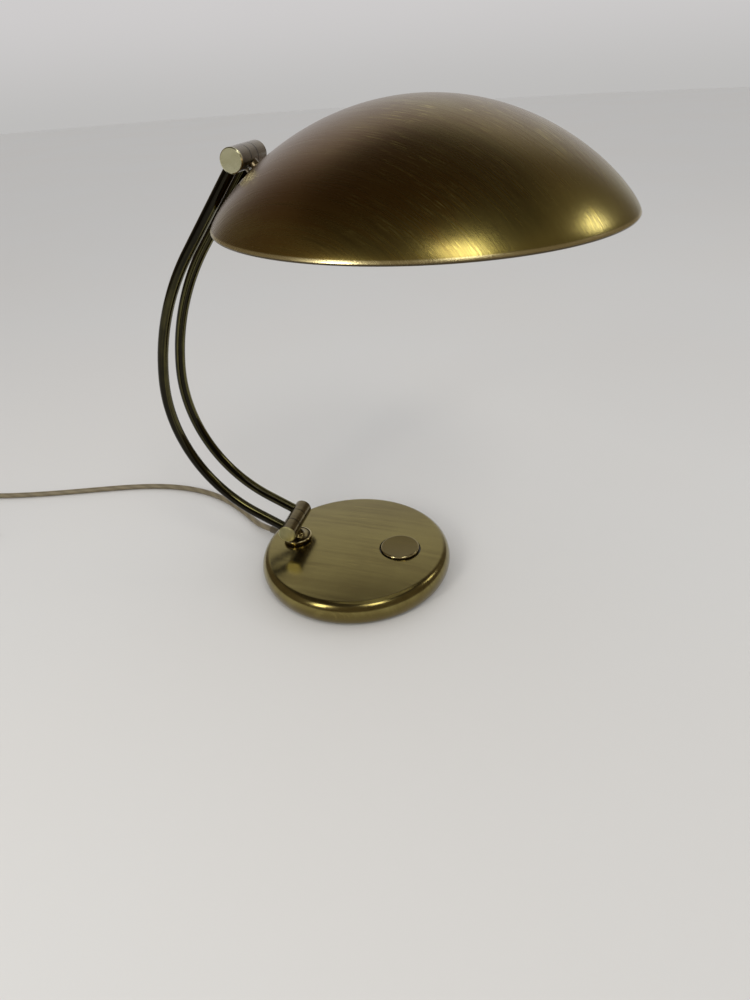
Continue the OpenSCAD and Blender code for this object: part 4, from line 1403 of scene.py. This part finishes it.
@dataclass
class TubeArms:
    """Two parallel tubes with two bends each, between the hinges."""

    diameter: float = 10 * MM
    spread: float = 34.5 * MM
    start_deg: float = 152.5
    foot_len: float = 38 * MM
    low_bend: tuple[float, float] = (142 * MM, 70.5)
    high_bend: tuple[float, float] = (247 * MM, 30.5)
    top_len: float = 92 * MM
    socket: float = 4.3 * MM

    def centreline(self) -> list[tuple[float, float]]:
        """The tubes' middle line, from hinge to hinge.

        Returns:
            The line's points in the XZ plane.
        """
        heading = radians(self.start_deg)
        x, z = LOWER_AXIS
        x += self.socket * cos(heading)
        z += self.socket * sin(heading)
        points = [(x, z)]
        (low_r, low_deg), (high_r, high_deg) = self.low_bend, self.high_bend
        stretches = (
            (self.foot_len - self.socket, 0.0, 6),
            (radians(low_deg) * low_r, low_r, 48),
            (radians(high_deg) * high_r, high_r, 36),
            (self.top_len - self.socket, 0.0, 12),
        )
        for length, radius, steps in stretches:
            step = length / steps
            turn = step / radius if radius else 0.0
            for _ in range(steps):
                chord = 2 * radius * sin(turn / 2) if radius else step
                x += chord * cos(heading - turn / 2)
                z += chord * sin(heading - turn / 2)
                heading -= turn
                points.append((x, z))
        return points

    def build(self) -> None:
        """Sweeps both tubes with the tube recipe."""
        recipe = tube_recipe()
        line = self.centreline()
        for name, sign in (("front", -1.0), ("rear", 1.0)):
            curve = bpy.data.curves.new("tube_" + name, "CURVE")
            curve.dimensions = "3D"
            spline = curve.splines.new("POLY")
            spline.points.add(len(line) - 1)
            for point, (x, z) in zip(spline.points, line):
                point.co = (x, sign * self.spread / 2, z, 1.0)
            tube = recipe.run(
                linked("tube_" + name, curve),
                Tube_radius=self.diameter / 2,
                Sides=40,
                Finish=Finish.ARM.material(),
            )
            tube.data.shade_smooth()
            tube.data.set_sharp_from_angle(angle=radians(50))
            declare(tube, "arms", "arm_brass", "arm_" + name)


# ---- Base ------------------------------------------------------------------


@dataclass
class Foot:
    """The spun base shell with its rosette."""

    diameter: float = 201.6 * MM
    foot_diameter: float = 187.6 * MM
    belly_z: float = 13.4 * MM
    top_diameter: float = 182 * MM
    top_edge_z: float = 26.6 * MM
    crown: float = 3.6 * MM
    sheet: float = 1.2 * MM
    foot_gap: float = 1 * MM
    button_hole: float = 43.6 * MM
    top_cut: tuple[float, float] = (15 * MM, 50 * MM)
    side_cut: tuple[float, float] = (60 * MM, 130 * MM)
    rosette_height: float = 5 * MM
    rosette_rim: float = 2 * MM
    rosette_undercut: float = 3.6 * MM
    gland: float = 10.04 * MM
    seat: float = 0.02 * MM

    def crown_radius(self) -> float:
        """Radius of the crowned top."""
        half = self.top_diameter / 2
        return (half * half + self.crown * self.crown) / (2 * self.crown)

    def crown_z(self, r: float) -> float:
        """Height of the crowned top at a distance from the middle."""
        radius = self.crown_radius()
        return self.top_edge_z + self.crown - radius + sqrt(radius * radius - r * r)

    def outline(self) -> Outline:
        """The shell's outer outline.

        Returns:
            Its points from the middle of the top to the lower edge.
        """
        half, belly = self.top_diameter / 2, self.diameter / 2
        top = [(half * i / 30, self.crown_z(half * i / 30)) for i in range(31)]
        rise = self.top_edge_z - self.belly_z
        shoulder = arc((half, self.belly_z), belly - half, rise, 84, 0, 28)
        foot = self.foot_diameter / 2
        drop = self.belly_z - self.foot_gap
        lower = arc((foot, self.belly_z), belly - foot, drop, 0, -90, 16)
        return top + shoulder + lower[1:]

    def build(self) -> None:
        """Spins the shell and cuts its holes, then adds the rosette."""
        outer = self.outline()
        inner = []
        last = len(outer) - 1
        for i, here in enumerate(outer):
            run = Vector(outer[min(i + 1, last)]) - Vector(outer[max(i - 1, 0)])
            p = Vector(here) + self.sheet * Vector((run.y, -run.x)).normalized()
            inner.append((max(p.x, 0.0), p.y))
        inner[0] = (0.0, outer[0][1] - self.sheet)
        ring = outer + inner[::-1]
        shell = shown(spun(ring, steps=240), "base_spun_shell", Finish.BASE)
        side = Matrix.Rotation(radians(CORD_EXIT_DEG), 4, "Z")
        side = standing(0.0, CORD_EXIT_Z) @ side @ Matrix.Rotation(pi / 2, 4, "Y")
        stem_r = STEM_DIAMETER / 2 + self.seat
        cut(
            shell,
            [
                cylinder(self.button_hole / 2, *self.top_cut, standing(BUTTON_X), 128),
                cylinder(stem_r, *self.top_cut, standing(LOWER_AXIS[0])),
                cylinder(self.gland / 2, *self.side_cut, side),
            ],
        )
        shell.data.set_sharp_from_angle(angle=radians(32))
        declare(shell, "base", "brushed_brass", "base_shell")
        self.rosette()

    def rosette(self) -> None:
        """Turns the rosette that holds the stem down on the crown."""
        stem_x, stem_r = LOWER_AXIS[0], STEM_DIAMETER / 2
        rim_z = self.crown_z(stem_x) + self.rosette_height
        low_z = rim_z - self.rosette_rim
        r = ROSETTE_DIAMETER / 2
        neck = stem_r + 2.2 * MM
        soft = 1.2 * MM
        cove_z = self.crown_z(stem_x) + 0.5 * MM
        foot_r = r - 0.4 * MM - self.rosette_undercut
        foot_z = self.crown_z(abs(stem_x) + foot_r)
        outline = [(stem_r, foot_z), (foot_r, foot_z)]
        cove = (r - 0.4 * MM, cove_z)
        outline += arc(cove, self.rosette_undercut, low_z - cove_z, 180, 90, 14)
        outline += [(r, low_z + 0.4 * MM)]
        outline += arc((r - soft, rim_z - soft), soft, soft, 0, 90, 8)
        hollow = (r - soft, rim_z + 2.6 * MM)
        outline += arc(hollow, r - soft - neck, 3.2 * MM, -80, -180, 20)
        top = rim_z + 3.4 * MM
        outline += [(neck, top - 0.5 * MM), (neck - 0.5 * MM, top), (stem_r, top)]
        mesh = spun(outline, standing(stem_x), 128, closed=True)
        piece = shown(mesh, "turned_rosette", Finish.ROSETTE)
        declare(piece, "base", "brushed_brass", "rosette")


@dataclass
class PushButton:
    """The dished push button with its rolled rim."""

    top: float = 31.757 * MM
    dish: float = 0.7 * MM
    rim: float = 1.5 * MM
    skirt: float = 11.5 * MM
    wall: float = 2 * MM
    plate: float = 2.6 * MM
    stem_z: float = 25.1 * MM
    stem_radius: float = 4 * MM

    def build(self) -> None:
        """Turns the button as one closed form."""
        r = BUTTON_DIAMETER / 2
        under = self.top - self.plate - self.dish
        low = self.top - self.skirt
        edge = (r - self.rim, self.top - self.rim)
        outline = eased(
            [
                (0.0, self.stem_z),
                (self.stem_radius, self.stem_z),
                (self.stem_radius, under),
                (r - self.wall, under),
                (r - self.wall, low),
                (r, low),
                (r, self.top - self.rim),
            ],
            0.3 * MM,
        )
        outline += arc(edge, self.rim, self.rim, 4, 90, 14)
        reach = r - self.rim
        bowl = (reach * reach + self.dish * self.dish) / (2 * self.dish)
        for i in range(1, 21):
            a = asin(reach / bowl) * (1 - i / 20)
            rise = bowl * (1 - cos(a))
            outline.append((bowl * sin(a), self.top - self.dish + rise))
        mesh = spun(outline, standing(BUTTON_X), 160)
        piece = shown(mesh, "dished_button", Finish.BUTTON, 40.0)
        declare(piece, "button", "button_brass", "push_button")


# ---- Lampholder ------------------------------------------------------------


@dataclass
class HolderSkirt:
    """The holder's screwed skirt, with fine grip ribs round its waist."""

    groove: float = 1 * MM
    wall: float = 2.4 * MM
    ribs: int = 40
    rib: float = 0.8 * MM
    plain: float = 12.4 * MM

    def build(self) -> None:
        """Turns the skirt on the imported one's axis and sets its ribs."""
        low, high = (Vector(p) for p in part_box("holder_skirt"))
        middle = (low + high) / 2
        length = high.x - low.x
        r = (high.z - low.z) / 2
        place = Matrix.Translation((low.x, middle.y, middle.z))
        place = place @ Matrix.Rotation(pi / 2, 4, "Y")
        waist = r - self.groove
        bore = r - self.wall - 1 * MM
        outline = [
            (waist, 0.0), (waist, 1.5 * MM), (r, 1.5 * MM), (r, 7 * MM),
            (waist, 8 * MM), (waist, length - 4 * MM), (r, length - 3 * MM),
            (r, length - 0.6 * MM), (r - 0.6 * MM, length), (bore, length),
            (bore, 2 * MM), (r - self.wall, 0.0),
        ]
        ribs = ring_of_ribs_recipe().run(
            linked("rib_seat", bpy.data.meshes.new("rib_seat")),
            Ribs=self.ribs,
            Circle_radius=waist,
            Rib_radius=self.rib,
            Rib_length=length - self.plain,
            Finish=Finish.BAKELITE.material(),
        )
        ribs.data.transform(place @ standing(0.0, length / 2 + 2 * MM))
        whole = joined(spun(outline, place, closed=True), ribs.data.copy())
        bpy.data.objects.remove(ribs)
        skirt = shown(whole, "ribbed_holder_skirt", Finish.BAKELITE)
        declare(skirt, "shade", "bakelite", "holder_skirt")


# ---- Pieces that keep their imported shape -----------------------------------

CARRIED = {
    Finish.IRON: ("ballast",),
    Finish.STEEL: (
        "bottom_cover", "cover_screws", "stem_nut", "cup_screws", "button_spring",
        "lower_pivot", "upper_pivot", "set_screw", "inner_washer",
    ),
    Finish.FELT: ("foot_pad",),
    Finish.LOWER_HINGE: (
        "stem", "lower_knuckle_middle", "lower_knuckle_front", "lower_knuckle_rear",
    ),
    Finish.UPPER_HINGE: (
        "upper_knuckle_front", "upper_knuckle_rear", "upper_knuckle_middle",
    ),
    Finish.LOWER_CAP: ("lower_cap",),
    Finish.UPPER_CAP: ("upper_cap",),
    Finish.NECK: ("neck_plate", "neck_tube", "lock_nut", "holder_elbow"),
    Finish.BAKELITE: ("button_cup", "switch_body", "holder_cap"),
    Finish.PORCELAIN: ("switch_plunger", "holder_insert"),
    Finish.FIBRE: ("lower_washers", "upper_washers"),
    Finish.LEAD: ("inner_lead",),
    Finish.CONTACT: ("holder_thread", "bulb_cap", "plug_pins"),
    Finish.OPAL: ("bulb_glass",),
    Finish.VINYL: ("strain_relief", "plug_body"),
    Finish.RUBBER: ("cord_tie",),
}


def dress(nodes: dict[str, Object]) -> None:
    """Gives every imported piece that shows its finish.

    Args:
        nodes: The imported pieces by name.
    """
    for finish, names in CARRIED.items():
        for piece in (nodes[name] for name in names):
            if not piece.material_slots:
                piece.data.materials.append(None)
            for place in piece.material_slots:
                place.material = finish.material()


def main() -> None:
    """Builds the lamp's sub-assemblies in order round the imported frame."""
    logging.basicConfig(level=logging.INFO, format="%(name)s: %(message)s")
    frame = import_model()
    nodes = frame["nodes"]
    Studio().build()
    FlexCord().build(nodes)
    for part in (DomeShade(), TubeArms(), Foot(), PushButton(), HolderSkirt()):
        part.build()
        log.info("built %s", type(part).__name__)
    dress(nodes)


if __name__ == "__main__":
    main()
